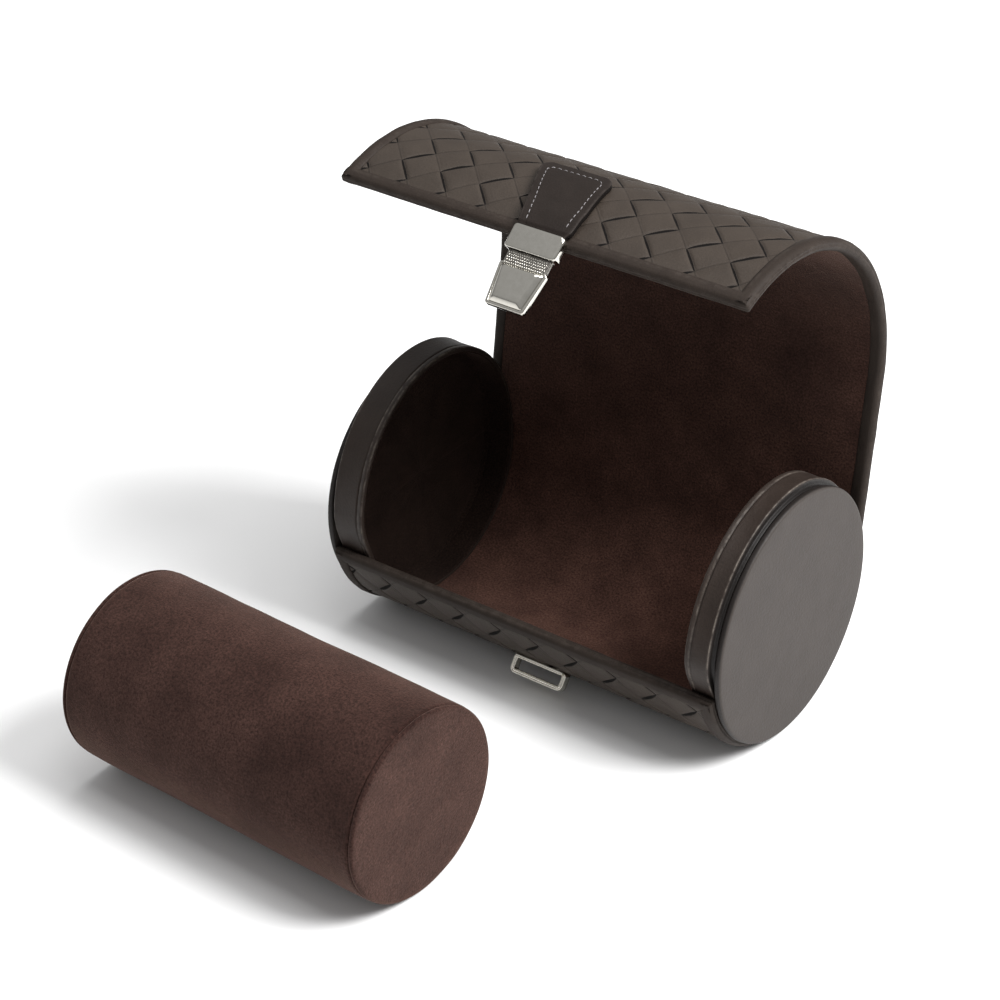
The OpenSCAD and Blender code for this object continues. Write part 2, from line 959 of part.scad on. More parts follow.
base_leather();
base_stiffener();
base_lining();
base_binding();
end_disc(-1);  // end_disc_left
end_disc(1);  // end_disc_right
cup_board(-1);  // cup_board_left
cup_board(1);  // cup_board_right
cup_band(-1);  // cup_band_left
cup_band(1);  // cup_band_right
cup_lining(-1);  // cup_lining_left
cup_lining(1);  // cup_lining_right
lid_leather(1);  // lid_leather_1
lid_leather(2);  // lid_leather_2
lid_leather(3);  // lid_leather_3
lid_leather(4);  // lid_leather_4
lid_leather(5);  // lid_leather_5
lid_leather(6);  // lid_leather_6
lid_stiffener(1);  // lid_stiffener_1
lid_stiffener(2);  // lid_stiffener_2
lid_stiffener(3);  // lid_stiffener_3
lid_stiffener(4);  // lid_stiffener_4
lid_stiffener(5);  // lid_stiffener_5
lid_stiffener(6);  // lid_stiffener_6
lid_lining(1);  // lid_lining_1
lid_lining(2);  // lid_lining_2
lid_lining(3);  // lid_lining_3
lid_lining(4);  // lid_lining_4
lid_lining(5);  // lid_lining_5
lid_lining(6);  // lid_lining_6
lid_binding(1);  // lid_binding_1
lid_binding(2);  // lid_binding_2
lid_binding(3);  // lid_binding_3
lid_binding(4);  // lid_binding_4
lid_binding(5);  // lid_binding_5
lid_binding(6);  // lid_binding_6
tab_leather();
tab_end();
clasp_ferrule();
ferrule_rivets();
catch_pin();
clasp_tongue();
clasp_nose();
catch_spring();
keeper_loop();
keeper_backplate();
keeper_rivets();
cushion_core();
cushion_plug(-1);  // cushion_plug_left
cushion_plug(1);  // cushion_plug_right
cushion_foam();
cushion_cover();
cushion_end(-1);  // cushion_end_left
cushion_end(1);  // cushion_end_right
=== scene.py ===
"""A leather travel case for wrist watches, dressed for its studio picture.

Lengths are in millimetres up to build(), which turns them into metres.
"""
import math

import bpy
import numpy as np
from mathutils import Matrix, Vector


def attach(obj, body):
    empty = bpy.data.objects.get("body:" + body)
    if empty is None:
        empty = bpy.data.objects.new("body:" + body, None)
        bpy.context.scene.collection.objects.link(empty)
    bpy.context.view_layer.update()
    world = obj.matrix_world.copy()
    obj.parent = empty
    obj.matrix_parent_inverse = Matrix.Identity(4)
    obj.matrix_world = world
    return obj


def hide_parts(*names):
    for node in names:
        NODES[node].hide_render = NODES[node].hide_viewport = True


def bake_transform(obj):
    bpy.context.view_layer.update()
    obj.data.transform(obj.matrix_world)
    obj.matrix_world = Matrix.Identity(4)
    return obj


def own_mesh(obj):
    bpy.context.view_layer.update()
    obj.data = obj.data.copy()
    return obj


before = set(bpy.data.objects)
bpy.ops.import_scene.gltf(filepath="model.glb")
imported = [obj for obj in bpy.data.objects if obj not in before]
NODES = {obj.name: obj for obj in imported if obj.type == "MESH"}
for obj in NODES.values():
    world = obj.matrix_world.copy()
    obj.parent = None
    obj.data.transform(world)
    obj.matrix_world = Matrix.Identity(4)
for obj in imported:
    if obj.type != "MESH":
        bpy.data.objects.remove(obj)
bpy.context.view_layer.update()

# ------------------------------------------------------------------ sizes
# The round base: radius, height of its axis, and half the sheet's width
SHELL_R, AXIS_Z, HALF = 43.3, 42.5, 73.6
# The lid: height of its straight wall, then the radius and turn of its curl
WALL_H, CURL_R, TURN = 65.9, 58.2, math.radians(121)
BACK = math.radians(353)
# Places along the section, from 0 where the wall leaves the base: the base's front lip, where the
# base's pieces meet the first fold, the solids' lid edge, and the lid edge that the photo shows
T_LIP = -math.radians(159) * SHELL_R
T_FOOT = -3.0
T_EDGE = WALL_H + TURN * CURL_R
T_HEM = T_EDGE + 3.0
# Leather alone, and leather, board and lining together
LEATHER, SHEET = 1.4, 3.0
# The binding: its width, and its bulge outside and inside
BINDING_W, BINDING_UP, BINDING_IN = 4.7, 0.7, 0.3
# How far inside the sheet's ends and sides the skin and the lining stop, under the binding
END_IN, SKIN_IN, LINING_IN = 3.0, 1.6, 2.6
# The weave: half a diamond's diagonal, and the x and t of one corner
WEAVE_H, WEAVE_X, WEAVE_T = 7.43, 7.14, 170.1
# The clasp's middle, and the depth of its fold line, which is outside the lid's face
CLASP_X, FOLD_DEPTH = 2.2, -2.8
# Steps round a turned piece
TURN_STEPS = 224
ORIGIN = np.array([math.cos(BACK), math.sin(BACK)]) * SHELL_R + [0, AXIS_Z]
NORMAL = np.array([math.cos(BACK), math.sin(BACK)])
UP = np.array([-math.sin(BACK), math.cos(BACK)])
CENTRE = ORIGIN + UP * WALL_H - NORMAL * CURL_R

# The sheet is cut into pieces in the middle of its panels. Each piece spans
# one fold line: (from, to, start of the bend, its end, body a, body b)
BENDS = [
    (T_FOOT, 13.0, T_FOOT, 13.0, "case_base", "lid_wall_low"),
    (13.0, 29.0, 13.0, 29.0, "lid_wall_low", "lid_wall_mid"),
    (29.0, 45.0, 29.0, 45.0, "lid_wall_mid", "lid_wall_high"),
    (45.0, 77.0, 45.0, 61.0, "lid_wall_high", "lid_shoulder"),
    (77.0, 123.0, 87.0, 116.0, "lid_shoulder", "lid_top"),
    (123.0, T_HEM, 131.0, 159.0, "lid_top", "lid_front"),
]


# ------------------------------------------------------------------ mesh tools
def section(t, depth):
    """(y, z) in mm at t along the outer face and depth below it."""
    t, depth = np.broadcast_arrays(np.asarray(t, float), np.asarray(depth, float))
    base = BACK + t / SHELL_R
    curl = BACK - 2 * math.pi + (t - WALL_H) / CURL_R
    on_base = np.stack([np.cos(base), np.sin(base)], -1) * (SHELL_R - depth)[..., None] + [0, AXIS_Z]
    on_wall = ORIGIN + UP * t[..., None] - NORMAL * depth[..., None]
    on_curl = CENTRE + np.stack([np.cos(curl), np.sin(curl)], -1) * (CURL_R - depth)[..., None]
    low, high = (t < 0)[..., None], (t > WALL_H)[..., None]
    return np.where(low, on_base, np.where(high, on_curl, on_wall))


def surface(x, t, depth):
    """(x, y, z) of the sheet at x and t, depth below its outer face."""
    yz = section(t, depth)
    x = np.broadcast_to(np.asarray(x, float), yz.shape[:-1])
    return np.concatenate([x[..., None], yz], -1)


def hashed(i, j, k, seed):
    """A fixed number from 0 to 1 for each cell."""
    v = np.sin(i * 127.1 + j * 311.7 + k * 74.7 + seed * 53.3) * 43758.5453
    return v - np.floor(v)


def noise(p, scale, seed=0):
    """Smooth value noise from -1 to 1 at points in mm, with features of that scale."""
    q = np.asarray(p, float) / scale
    i = np.floor(q)
    f = q - i
    f = f * f * (3 - 2 * f)
    total = 0.0
    for dx in (0, 1):
        for dy in (0, 1):
            for dz in (0, 1):
                w = np.abs(1 - dx - f[..., 0]) * np.abs(1 - dy - f[..., 1]) * np.abs(1 - dz - f[..., 2])
                cell = hashed(i[..., 0] + dx, i[..., 1] + dy, i[..., 2] + dz, seed)
                total = total + w * cell
    return total * 2 - 1


def smoothstep(a, b, v):
    s = np.clip((v - a) / (b - a), 0, 1)
    return s * s * (3 - 2 * s)


def path_length(path):
    """Distance along a path of points, from 0 at its first."""
    return np.concatenate([[0], np.cumsum(np.hypot(*np.diff(path, axis=0).T))])


def set_values(obj, name, values):
    """Gives each point of a mesh a value that its material reads."""
    layer = obj.data.attributes.new(name, "FLOAT", "POINT")
    layer.data.foreach_set("value", np.asarray(values, np.float32).ravel())


def build(name, points, faces, uv=None, values=None, smooth=True):
    """Makes an object from points in mm, with its cloth map and its values."""
    mesh = bpy.data.meshes.new(name)
    mesh.from_pydata((np.asarray(points, float) / 1000).tolist(), [], faces)
    mesh.update()
    if smooth:
        mesh.polygons.foreach_set("use_smooth", np.ones(len(mesh.polygons), bool))
    if uv is not None:
        loops = np.zeros(len(mesh.loops), np.int32)
        mesh.loops.foreach_get("vertex_index", loops)
        layer = mesh.uv_layers.new(name="cloth")
        layer.data.foreach_set("uv", (np.asarray(uv, float)[loops] / 100).astype(np.float32).ravel())
    obj = bpy.data.objects.new(name, mesh)
    for key, data in (values or {}).items():
        set_values(obj, key, data)
    bpy.context.scene.collection.objects.link(obj)
    return obj


def loft(name, rings, uv=None, values=None, caps=True):
    """Skin over closed rings of points, shape (rings, points, 3), with or without its two ends."""
    rings = np.asarray(rings, float)
    n, k = rings.shape[:2]
    index = np.arange(n * k).reshape(n, k)
    turn = np.roll(index, -1, 1)
    quads = np.stack([index[:-1], turn[:-1], turn[1:], index[1:]], -1).reshape(-1, 4).tolist()
    points = rings.reshape(-1, 3)
    flat = {key: np.broadcast_to(v, (n, k)).ravel() for key, v in (values or {}).items()}
    uv = None if uv is None else np.asarray(uv, float).reshape(-1, 2)
    for order in (index[0, ::-1], index[-1]) if caps else ():
        quads.append(list(range(len(points), len(points) + k)))
        points = np.concatenate([points, points[order]])
        uv = None if uv is None else np.concatenate([uv, uv[order]])
        flat = {key: np.concatenate([v, v[order]]) for key, v in flat.items()}
    return build(name, points, quads, uv, flat)


def lathe(name, profile, side, move):
    """Turns a profile of (radius, x) round the case's axis, then moves its points."""
    profile = np.asarray(profile, float)
    turn = np.linspace(0, 2 * math.pi, TURN_STEPS, endpoint=False)
    r, x = profile[:, :1], profile[:, 1:]
    x = np.broadcast_to(x * side, (len(profile), TURN_STEPS))
    ring = np.stack([x, r * np.cos(turn), AXIS_Z + r * np.sin(turn)], -1)
    ring = ring + move(ring, r, turn)
    # A radius of 40 stands for all of them, so that the grain keeps its size near the rim
    uv = np.stack(np.broadcast_arrays(turn * 40, path_length(profile)[:, None]), -1)
    return loft(name, ring if side < 0 else ring[:, ::-1], uv, caps=False)


def arc(cx, cy, r, a1, a2, count):
    """Points on a circle between two angles in degrees."""
    a = np.radians(np.linspace(a1, a2, count))
    return [(cx + r * math.cos(v), cy + r * math.sin(v)) for v in a]


# ------------------------------------------------------------------ materials
def grey(level):
    return (level,) * 3


def principled(name, **sockets):
    """A new material with these values on its shader's own sockets."""
    mat = bpy.data.materials.new(name)
    mat.use_nodes = True
    shader = mat.node_tree.nodes["Principled BSDF"]
    for key, value in sockets.items():
        shader.inputs[key.replace("_", " ")].default_value = value
    return mat, mat.node_tree.nodes, mat.node_tree.links, shader


def mapped(nodes, links, uv=False):
    """Texture coordinates in tenths of a metre, from the cloth map or from the object's own axes."""
    coords = nodes.new("ShaderNodeTexCoord")
    mapping = nodes.new("ShaderNodeMapping")
    scale = 1.0 if uv else 10.0
    mapping.inputs["Scale"].default_value = (scale,) * 3
    links.new(coords.outputs["UV" if uv else "Object"], mapping.inputs["Vector"])
    return mapping.outputs["Vector"]


def noise_node(nodes, links, vector, scale, detail=3.0, rough=0.5):
    tex = nodes.new("ShaderNodeTexNoise")
    tex.inputs["Scale"].default_value = scale
    tex.inputs["Detail"].default_value = detail
    tex.inputs["Roughness"].default_value = rough
    links.new(vector, tex.inputs["Vector"])
    return tex.outputs["Fac"]


def ramp(nodes, links, value, stops):
    """Colour of a value, from stops of (value, colour)."""
    node = nodes.new("ShaderNodeValToRGB")
    for i, (place, colour) in enumerate(stops):
        element = node.color_ramp.elements[i] if i < 2 else node.color_ramp.elements.new(place)
        element.position = place
        element.color = (*colour, 1)
    links.new(value, node.inputs["Fac"])
    return node.outputs["Color"]


def math_node(nodes, links, kind, a, b):
    node = nodes.new("ShaderNodeMath")
    node.operation = kind
    for i, v in enumerate((a, b)):
        if isinstance(v, (int, float)):
            node.inputs[i].default_value = v
        else:
            links.new(v, node.inputs[i])
    return node.outputs[0]


def mix(nodes, links, fac, a, b, blend="MIX"):
    node = nodes.new("ShaderNodeMix")
    node.data_type = "RGBA"
    node.blend_type = blend
    for socket, kind, v in (("Factor", "VALUE", fac), ("A", "RGBA", a), ("B", "RGBA", b)):
        target = next(s for s in node.inputs if s.name == socket and s.type == kind)
        if isinstance(v, (int, float)):
            target.default_value = v
        elif isinstance(v, tuple):
            target.default_value = (*v, 1)
        else:
            links.new(v, target)
    return next(s for s in node.outputs if s.type == "RGBA")


def bump(nodes, links, shader, height, strength, distance, before=None):
    """Adds a bump to the shader, on top of the one before it."""
    node = nodes.new("ShaderNodeBump")
    node.inputs["Strength"].default_value = strength
    node.inputs["Distance"].default_value = distance
    links.new(height, node.inputs["Height"])
    if before:
        links.new(before, node.inputs["Normal"])
    links.new(node.outputs["Normal"], shader.inputs["Normal"])
    return node.outputs["Normal"]


def attribute(nodes, name):
    node = nodes.new("ShaderNodeAttribute")
    node.attribute_name = name
    return node.outputs["Fac"]


def weave_lines(nodes, links, vector, waver):
    """(dark slits, faint creases) of the weave, from 0 to 1, drawn from the sheet's own x and t: masks for
    painted shade.
    """
    def do(kind, a, b=0.0):
        return math_node(nodes, links, kind, a, b)

    split = nodes.new("ShaderNodeSeparateXYZ")
    links.new(vector, split.inputs[0])
    x, t = split.outputs[0], split.outputs[1]
    # The cloth map is in tenths of a metre, and half of that over a half diagonal counts the diamonds
    count = 50 / WEAVE_H
    x, t = do("MULTIPLY", x, count), do("MULTIPLY", t, count)
    i = do("ADD", do("SUBTRACT", x, t), (WEAVE_T - WEAVE_X) / (2 * WEAVE_H))
    j = do("SUBTRACT", (WEAVE_T + WEAVE_X) / (2 * WEAVE_H), do("ADD", x, t))
    u, v = do("FRACT", i), do("FRACT", j)
    parity = do("MULTIPLY", do("SUBTRACT", do("FLOOR", i), do("FLOOR", j)), 0.5)
    odd = do("MULTIPLY", do("FRACT", parity), 2.0)
    even = do("SUBTRACT", 1.0, odd)
    sign = do("SUBTRACT", odd, even)
    other = do("MULTIPLY", sign, -1.0)
    side = WEAVE_H * math.sqrt(2)
    uneven = do("MULTIPLY", do("SUBTRACT", waver, 0.5), 0.3)
    slits, creases = [], []
    for along, across, base, way, width, taper in ((u, v, even, sign, 0.70, 0.4),
                                                   (v, u, odd, other, 0.42, 0.2)):
        share = do("ADD", base, do("MULTIPLY", across, way))
        near = do("ADD", do("MULTIPLY", share, side), uneven)
        far = do("MULTIPLY", do("SUBTRACT", 1.0, share), side)
        span = do("POWER", do("SINE", do("MULTIPLY", along, math.pi)), taper)
        slit = do("DIVIDE", do("SUBTRACT", do("MULTIPLY", span, width), near), 0.16)
        slits.append(do("MINIMUM", do("MAXIMUM", slit, 0.0), 1.0))
        creases.append(do("MAXIMUM", do("SUBTRACT", 1.0, do("MULTIPLY", far, 2.4)), 0.0))
    return do("MAXIMUM", *slits), do("MAXIMUM", *creases)


def leather(name, gloss, dark, lit, worn_and_lit=None, side=None, uv=True, grain=1.0, rough=(0.46, 0.62),
            woven=False):
    """Pebbled leather, with a colour for rubbed places (on the band's crests partly a painted highlight)
    and painted shade for its sides if they have one.
    """
    mat, nodes, links, shader = principled(name, Specular_IOR_Level=gloss)
    vector = mapped(nodes, links, uv)
    pebble = nodes.new("ShaderNodeTexVoronoi")
    pebble.feature = "SMOOTH_F1"
    pebble.inputs["Scale"].default_value = 150 * grain
    links.new(vector, pebble.inputs["Vector"])
    fine = noise_node(nodes, links, vector, 260 * grain, 4)
    broad = noise_node(nodes, links, vector, 9, 5, 0.6)
    colour = ramp(nodes, links, broad, [(0.3, dark), (0.7, lit)])
    specks = ramp(nodes, links, fine, [(0.35, grey(0.72)), (0.65, grey(1))])
    colour = mix(nodes, links, 1.0, colour, specks, "MULTIPLY")
    # Rubbed places get a lighter colour; on the band's crests it is partly a painted highlight.
    if worn_and_lit:
        scuff = noise_node(nodes, links, vector, 34, 5, 0.7)
        patches = ramp(nodes, links, scuff, [(0.42, grey(0)), (0.62, grey(1))])
        amount = math_node(nodes, links, "MULTIPLY", attribute(nodes, "wear_and_highlight"), patches)
        colour = mix(nodes, links, amount, colour, worn_and_lit)
    # The side colour is painted shade, mixed in where the side attribute marks a side in shade.
    if side:
        colour = mix(nodes, links, attribute(nodes, "side"), colour, side)
    level = ramp(nodes, links, fine, [(0.3, grey(rough[0])), (0.7, grey(rough[1]))])
    first = bump(nodes, links, shader, pebble.outputs["Distance"], 0.22, 0.0003)
    first = bump(nodes, links, shader, fine, 0.16, 0.0002, first)
    if woven:
        # The slits and faint creases get painted shade: a darker colour for the shade down in them.
        slit, crease = weave_lines(nodes, links, vector, noise_node(nodes, links, vector, 40, 3))
        faint = math_node(nodes, links, "MULTIPLY", crease, 0.45)
        colour = mix(nodes, links, faint, colour, (0.010, 0.0075, 0.006))
        colour = mix(nodes, links, slit, colour, (0.0025, 0.0018, 0.0015))
        level = mix(nodes, links, slit, level, grey(1.0))
        deep = math_node(nodes, links, "ADD", slit, math_node(nodes, links, "MULTIPLY", crease, 0.3))
        bump(nodes, links, shader, math_node(nodes, links, "SUBTRACT", 1.0, deep), 0.7, 0.0005, first)
    links.new(colour, shader.inputs["Base Color"])
    links.new(level, shader.inputs["Roughness"])
    return mat


def suede(name, dark, lit, uv=True, sheen=0.5, painted_shading=False):
    """Suede with a cloudy nap. It can carry painted light and shade: its colour painted lighter in the base
    and darker under the lid's top.
    """
    mat, nodes, links, shader = principled(
        name, Specular_IOR_Level=0.12, Roughness=0.95,
        Sheen_Weight=sheen, Sheen_Roughness=0.42, Sheen_Tint=(0.5, 0.33, 0.27, 1))
    vector = mapped(nodes, links, uv)
    nap = noise_node(nodes, links, vector, 5.5, 6, 0.62)
    fibres = noise_node(nodes, links, vector, 140, 4, 0.75)
    colour = ramp(nodes, links, nap, [(0.32, dark), (0.68, lit)])
    specks = ramp(nodes, links, fibres, [(0.36, (0.42, 0.40, 0.39)), (0.64, (1.6, 1.56, 1.53))])
    colour = mix(nodes, links, 1.0, colour, specks, "MULTIPLY")
    if painted_shading:
        split = nodes.new("ShaderNodeSeparateXYZ")
        links.new(vector, split.inputs[0])
        third = math_node(nodes, links, "MULTIPLY", split.outputs[1], 0.333)
        place = math_node(nodes, links, "ADD", third, 0.333)
        # Painted light and shade: the colour is multiplied by about 2 in the base, where light falls in,
        # falling to 0.4 under the lid's top, which is in shade.
        stops = [(0.0, 2.1), (0.33, 1.9), (0.50, 1.2), (0.68, 0.62), (0.96, 0.4)]
        painted_shading_ramp = ramp(nodes, links, place, [(at, grey(level)) for at, level in stops])
        colour = mix(nodes, links, 1.0, colour, painted_shading_ramp, "MULTIPLY")
    links.new(colour, shader.inputs["Base Color"])
    first = bump(nodes, links, shader, fibres, 0.5, 0.0004)
    bump(nodes, links, shader, nap, 0.3, 0.0015, first)
    return mat


def metal(name, rough, dark, lit):
    mat, nodes, links, shader = principled(name, Metallic=1.0, Roughness=rough)
    vector = mapped(nodes, links)
    marks = noise_node(nodes, links, vector, 60, 5, 0.65)
    colour = ramp(nodes, links, marks, [(0.3, dark), (0.7, lit)])
    links.new(colour, shader.inputs["Base Color"])
    level = ramp(nodes, links, marks, [(0.3, grey(rough * 0.9)), (0.75, grey(rough * 1.2))])
    links.new(level, shader.inputs["Roughness"])
    bump(nodes, links, shader, marks, 0.01, 0.0002)
    return mat


def plain_stuff(name, dark, lit, scale, rough=0.9):
    mat, nodes, links, shader = principled(name, Roughness=rough)
    vector = mapped(nodes, links)
    fac = noise_node(nodes, links, vector, scale, 5, 0.6)
    links.new(ramp(nodes, links, fac, [(0.3, dark), (0.7, lit)]), shader.inputs["Base Color"])
    bump(nodes, links, shader, fac, 0.3, 0.0003)
    return mat


WOVEN = leather("woven_leather", 0.22, (0.040, 0.0304, 0.0238), (0.051, 0.0392, 0.0308), woven=True)
# The lighter colours for rubbed places; the band's light one is partly a painted highlight on its crests.
EDGE = leather("edge_leather", 0.12, (0.025, 0.0185, 0.0150), (0.035, 0.0262, 0.0212),
               worn_and_lit=(0.080, 0.066, 0.056), rough=(0.52, 0.68))
# The side colours of the band, tab and disc below are painted shade.
BAND = leather("band_leather", 0.26, (0.026, 0.0180, 0.0142), (0.038, 0.0270, 0.0218),
               worn_and_lit=(0.30, 0.26, 0.22), rough=(0.44, 0.60), side=(0.006, 0.0043, 0.0036))
TAB = leather("tab_leather", 0.14, (0.015, 0.0108, 0.0088), (0.022, 0.0162, 0.0134),
              worn_and_lit=(0.06, 0.05, 0.045), rough=(0.50, 0.66), side=(0.005, 0.0036, 0.003))
DISC = leather("disc_leather", 0.32, (0.036, 0.0280, 0.0240), (0.044, 0.0350, 0.0300), uv=False,
               grain=0.8, rough=(0.50, 0.66), side=(0.012, 0.0088, 0.0075))
# The lining carries painted light and shade: lighter in the base, darker under the lid's top.
LINING = suede("suede_lining", (0.022, 0.0106, 0.0082), (0.044, 0.0222, 0.0168), painted_shading=True)
# The cups' suede is a darker copy of the lining: painted shade for the shade inside the cups.
POCKET = suede("pocket_suede", (0.012, 0.0070, 0.0054), (0.021, 0.0125, 0.0096), sheen=0.15)
CUSHION = suede("cushion_suede", (0.022, 0.0102, 0.0082), (0.041, 0.0208, 0.0168), uv=False, sheen=0.4)
NICKEL = metal("nickel", 0.10, (0.56, 0.54, 0.49), (0.62, 0.60, 0.55))
# The keeper's nickel is painted light: a lighter copy of the clasp's nickel, for the light that the keeper
# catches.
LIT_NICKEL = metal("nickel_painted_light", 0.22, (0.84, 0.81, 0.72), (0.92, 0.89, 0.80))
DULL = metal("dull_nickel", 0.3, (0.20, 0.19, 0.17), (0.30, 0.28, 0.26))
BOARD = plain_stuff("board", (0.20, 0.15, 0.10), (0.30, 0.24, 0.17), 30)
THREAD = plain_stuff("thread", (0.12, 0.11, 0.115), (0.26, 0.245, 0.25), 120, 0.7)


def dress(obj, mat, slot_name, *cad):
    """Gives a piece its material, and hides the CAD nodes that it stands for; slot_name is not used."""
    obj.data.materials.clear()
    obj.data.materials.append(mat)
    if cad:
        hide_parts(*cad)
    return obj


# ------------------------------------------------------------------ woven leather, lining, binding
def weave(x, t):
    """Height in mm of the embossed weave at x, t."""
    a, b = (x - WEAVE_X) / WEAVE_H, -(t - WEAVE_T) / WEAVE_H
    i, j = (a + b) / 2, (b - a) / 2
    ci, cj = np.floor(i), np.floor(j)
    u, v = i - ci, j - cj
    side = WEAVE_H * math.sqrt(2)
    height = np.zeros_like(u)
    even = (ci - cj) % 2 == 0
    # (distance to the edge, place along it, whether the edge is cut deep)
    long_low = (v * side, u, ~even)
    long_high = ((1 - v) * side, u, even)
    short_low = (u * side, v, even)
    short_high = ((1 - u) * side, v, ~even)
    for d, s, deep in (long_low, long_high, short_low, short_high):
        span = np.sin(math.pi * np.clip(s, 0, 1)) ** 0.4
        cut = np.exp(-(d / 0.5) ** 2)
        height = height - np.where(deep, 0.50 * span, 0.08) * cut
        height = height - np.where(deep, 0.12, 0.06) * np.exp(-d / 1.2)
    dome = (1 - (2 * u - 1) ** 4) * (1 - (2 * v - 1) ** 4)
    tilt = np.where(even, v - 0.5, u - 0.5)
    return height + 0.12 * dome - 0.12 + 0.14 * tilt


def leather_piece(name, t1, t2):
    """The woven skin from t1 to t2. Its weave flattens towards the binding."""
    half, step, under_binding = HALF - SKIN_IN, 0.46, 4.8
    t = np.linspace(t1, t2, max(3, int(round((t2 - t1) / step)) + 1))
    x = np.linspace(-half, half, int(2 * half / step) + 1)
    X, T = np.meshgrid(x, t)
    fade = smoothstep(0.0, 2.0, half - 2.6 - np.abs(X))
    for gap in (T_HEM - under_binding - T, T - T_LIP - under_binding):
        fade = fade * smoothstep(0, 2.0, gap)
    height = weave(X, T) * (0.25 + 0.75 * fade)
    flat = np.stack([X, T, 0 * X], -1)
    height = height + 0.10 * noise(flat, 9, 3) + 0.05 * noise(flat, 3.5, 5)
    top = surface(X, T, -height - 0.02)
    back = np.linspace(half, -half, 13)
    XB, TB = np.meshgrid(back, t)
    rings = np.concatenate([top, surface(XB, TB, LEATHER - 0.05)], 1)
    rings[..., 2] = np.maximum(rings[..., 2], 0.1)
    uv = np.concatenate([flat[..., :2], np.stack([XB, TB], -1)], 1)
    return dress(loft(name, rings, uv), WOVEN, "woven_leather")


def lining_piece(name, t1, t2):
    """The suede lining from t1 to t2, slightly uneven."""
    half = HALF - LINING_IN
    t = np.linspace(t1, t2, max(3, int(round(t2 - t1)) + 1))
    x = np.linspace(-half, half, int(2 * half / 1.3) + 1)
    X, T = np.meshgrid(x, t)
    flat = np.stack([X, T, 0 * X], -1)
    puff = 0.06 * noise(flat, 14, 8) + 0.05 * noise(flat, 5, 9)
    inner = surface(X, T, SHEET + puff)
    XB, TB = np.meshgrid(x[::-1], t)
    rings = np.concatenate([inner[:, ::-1], surface(XB[:, ::-1], TB, SHEET - 0.55)], 1)
    uv = np.concatenate([flat[:, ::-1, :2], np.stack([XB[:, ::-1], TB], -1)], 1)
    return dress(loft(name, rings, uv), LINING, "suede_lining")


def binding_profile(inner):
    """Closed loop of (distance from the edge, depth) round a bound edge, with its bulge inside."""
    top, low = -BINDING_UP, SHEET + inner
    r = (low - top) / 2
    mid = (low + top) / 2
    bead = [(r - (r - 0.28 * math.exp(-((a - 0.1) / 0.14) ** 2)) * math.cos(a), mid - r * math.sin(a))
            for a in np.radians(np.linspace(-82, 82, 23))]
    outer = [(2.6, top + 0.02), (3.5, top + 0.10), (4.2, top + 0.28), (BINDING_W, -0.12), (BINDING_W, 0.1)]
    inside = [(BINDING_W, SHEET - 0.1), (BINDING_W, SHEET + 0.02), (4.2, SHEET + inner * 0.45),
              (3.5, SHEET + inner * 0.8), (2.6, low - 0.02)]
    return np.array(bead + outer + inside)


def bound_edge(name, path, normals):
    """Sweeps the binding along a path of (x, t) with inward normals."""
    path, normals = np.asarray(path, float), np.asarray(normals, float)
    rings, uvs, wears = [], [], []
    for (x, t), n, s in zip(path, normals, path_length(path)):
        loop = binding_profile(BINDING_IN * float(smoothstep(5, 15, t)))
        u, d = loop.T
        rings.append(surface(x + n[0] * u, t + n[1] * u, d))
        uvs.append(np.stack([path_length(loop), np.full(len(loop), s)], -1))
        crest = np.exp(-((d + BINDING_UP) / 0.25) ** 2) * np.exp(-((u - 3.9) / 0.5) ** 2)
        wears.append(np.clip(crest * 0.55 + np.exp(-((u - 0.2) / 0.35) ** 2) * 0.25, 0, 1))
    rings = np.array(rings)
    centre = rings.mean(1, keepdims=True)
    out = rings - centre
    size = np.linalg.norm(out, axis=-1, keepdims=True)
    wobble = 0.07 * noise(rings, 6, 21)[..., None] + 0.035 * noise(rings, 2.2, 22)[..., None]
    rings = rings + out / np.maximum(size, 1e-6) * wobble
    rings[..., 2] = np.maximum(rings[..., 2], 0.0)
    return dress(loft(name, rings, np.array(uvs), {"wear_and_highlight": np.array(wears)}), EDGE, "smooth_leather")


def straight(x1, t1, x2, t2, n):
    """(points, inward normals) of a straight stretch of the sheet's edge."""
    count = max(2, int(math.hypot(x2 - x1, t2 - t1) / 0.8) + 1)
    f = np.linspace(0, 1, count)
    return np.stack([x1 + (x2 - x1) * f, t1 + (t2 - t1) * f], -1), np.tile(n, (count, 1))


def corner(cx, ct, n1, n2, radius):
    """Quarter turn of the path round a corner of the sheet, between two inward normals."""
    f = np.linspace(0, 1, 7)[1:-1]
    a1, a2 = math.atan2(n1[1], n1[0]), math.atan2(n2[1], n2[0])
    turn = (a2 - a1 + math.pi) % (2 * math.pi) - math.pi
    a = a1 + turn * f
    n = np.stack([np.cos(a), np.sin(a)], -1)
    return np.array([cx, ct]) - radius * n, n


def around(t_start, t_end, direction):
    """Path of the binding round one end of the sheet: down one side, across and back."""
    r = 0.8
    e = t_end - direction * r
    parts = [
        straight(HALF, t_start, HALF, e, (-1, 0)),
        corner(HALF - r, e, (-1, 0), (0, -direction), r),
        straight(HALF - r, t_end, -HALF + r, t_end, (0, -direction)),
        corner(-HALF + r, e, (0, -direction), (1, 0), r),
        straight(-HALF, e, -HALF, t_start, (1, 0)),
    ]
    return [np.concatenate(column) for column in zip(*parts)]


base_woven = leather_piece("base_skin", T_LIP + END_IN, T_FOOT)
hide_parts("base_leather")
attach(base_woven, "case_base")
base_lined = lining_piece("base_lining_sheet", T_LIP + END_IN, T_FOOT)
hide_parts("base_lining")
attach(base_lined, "case_base")
base_edge = bound_edge("base_edge", *around(T_FOOT, T_LIP, -1))
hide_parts("base_binding")
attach(base_edge, "case_base")

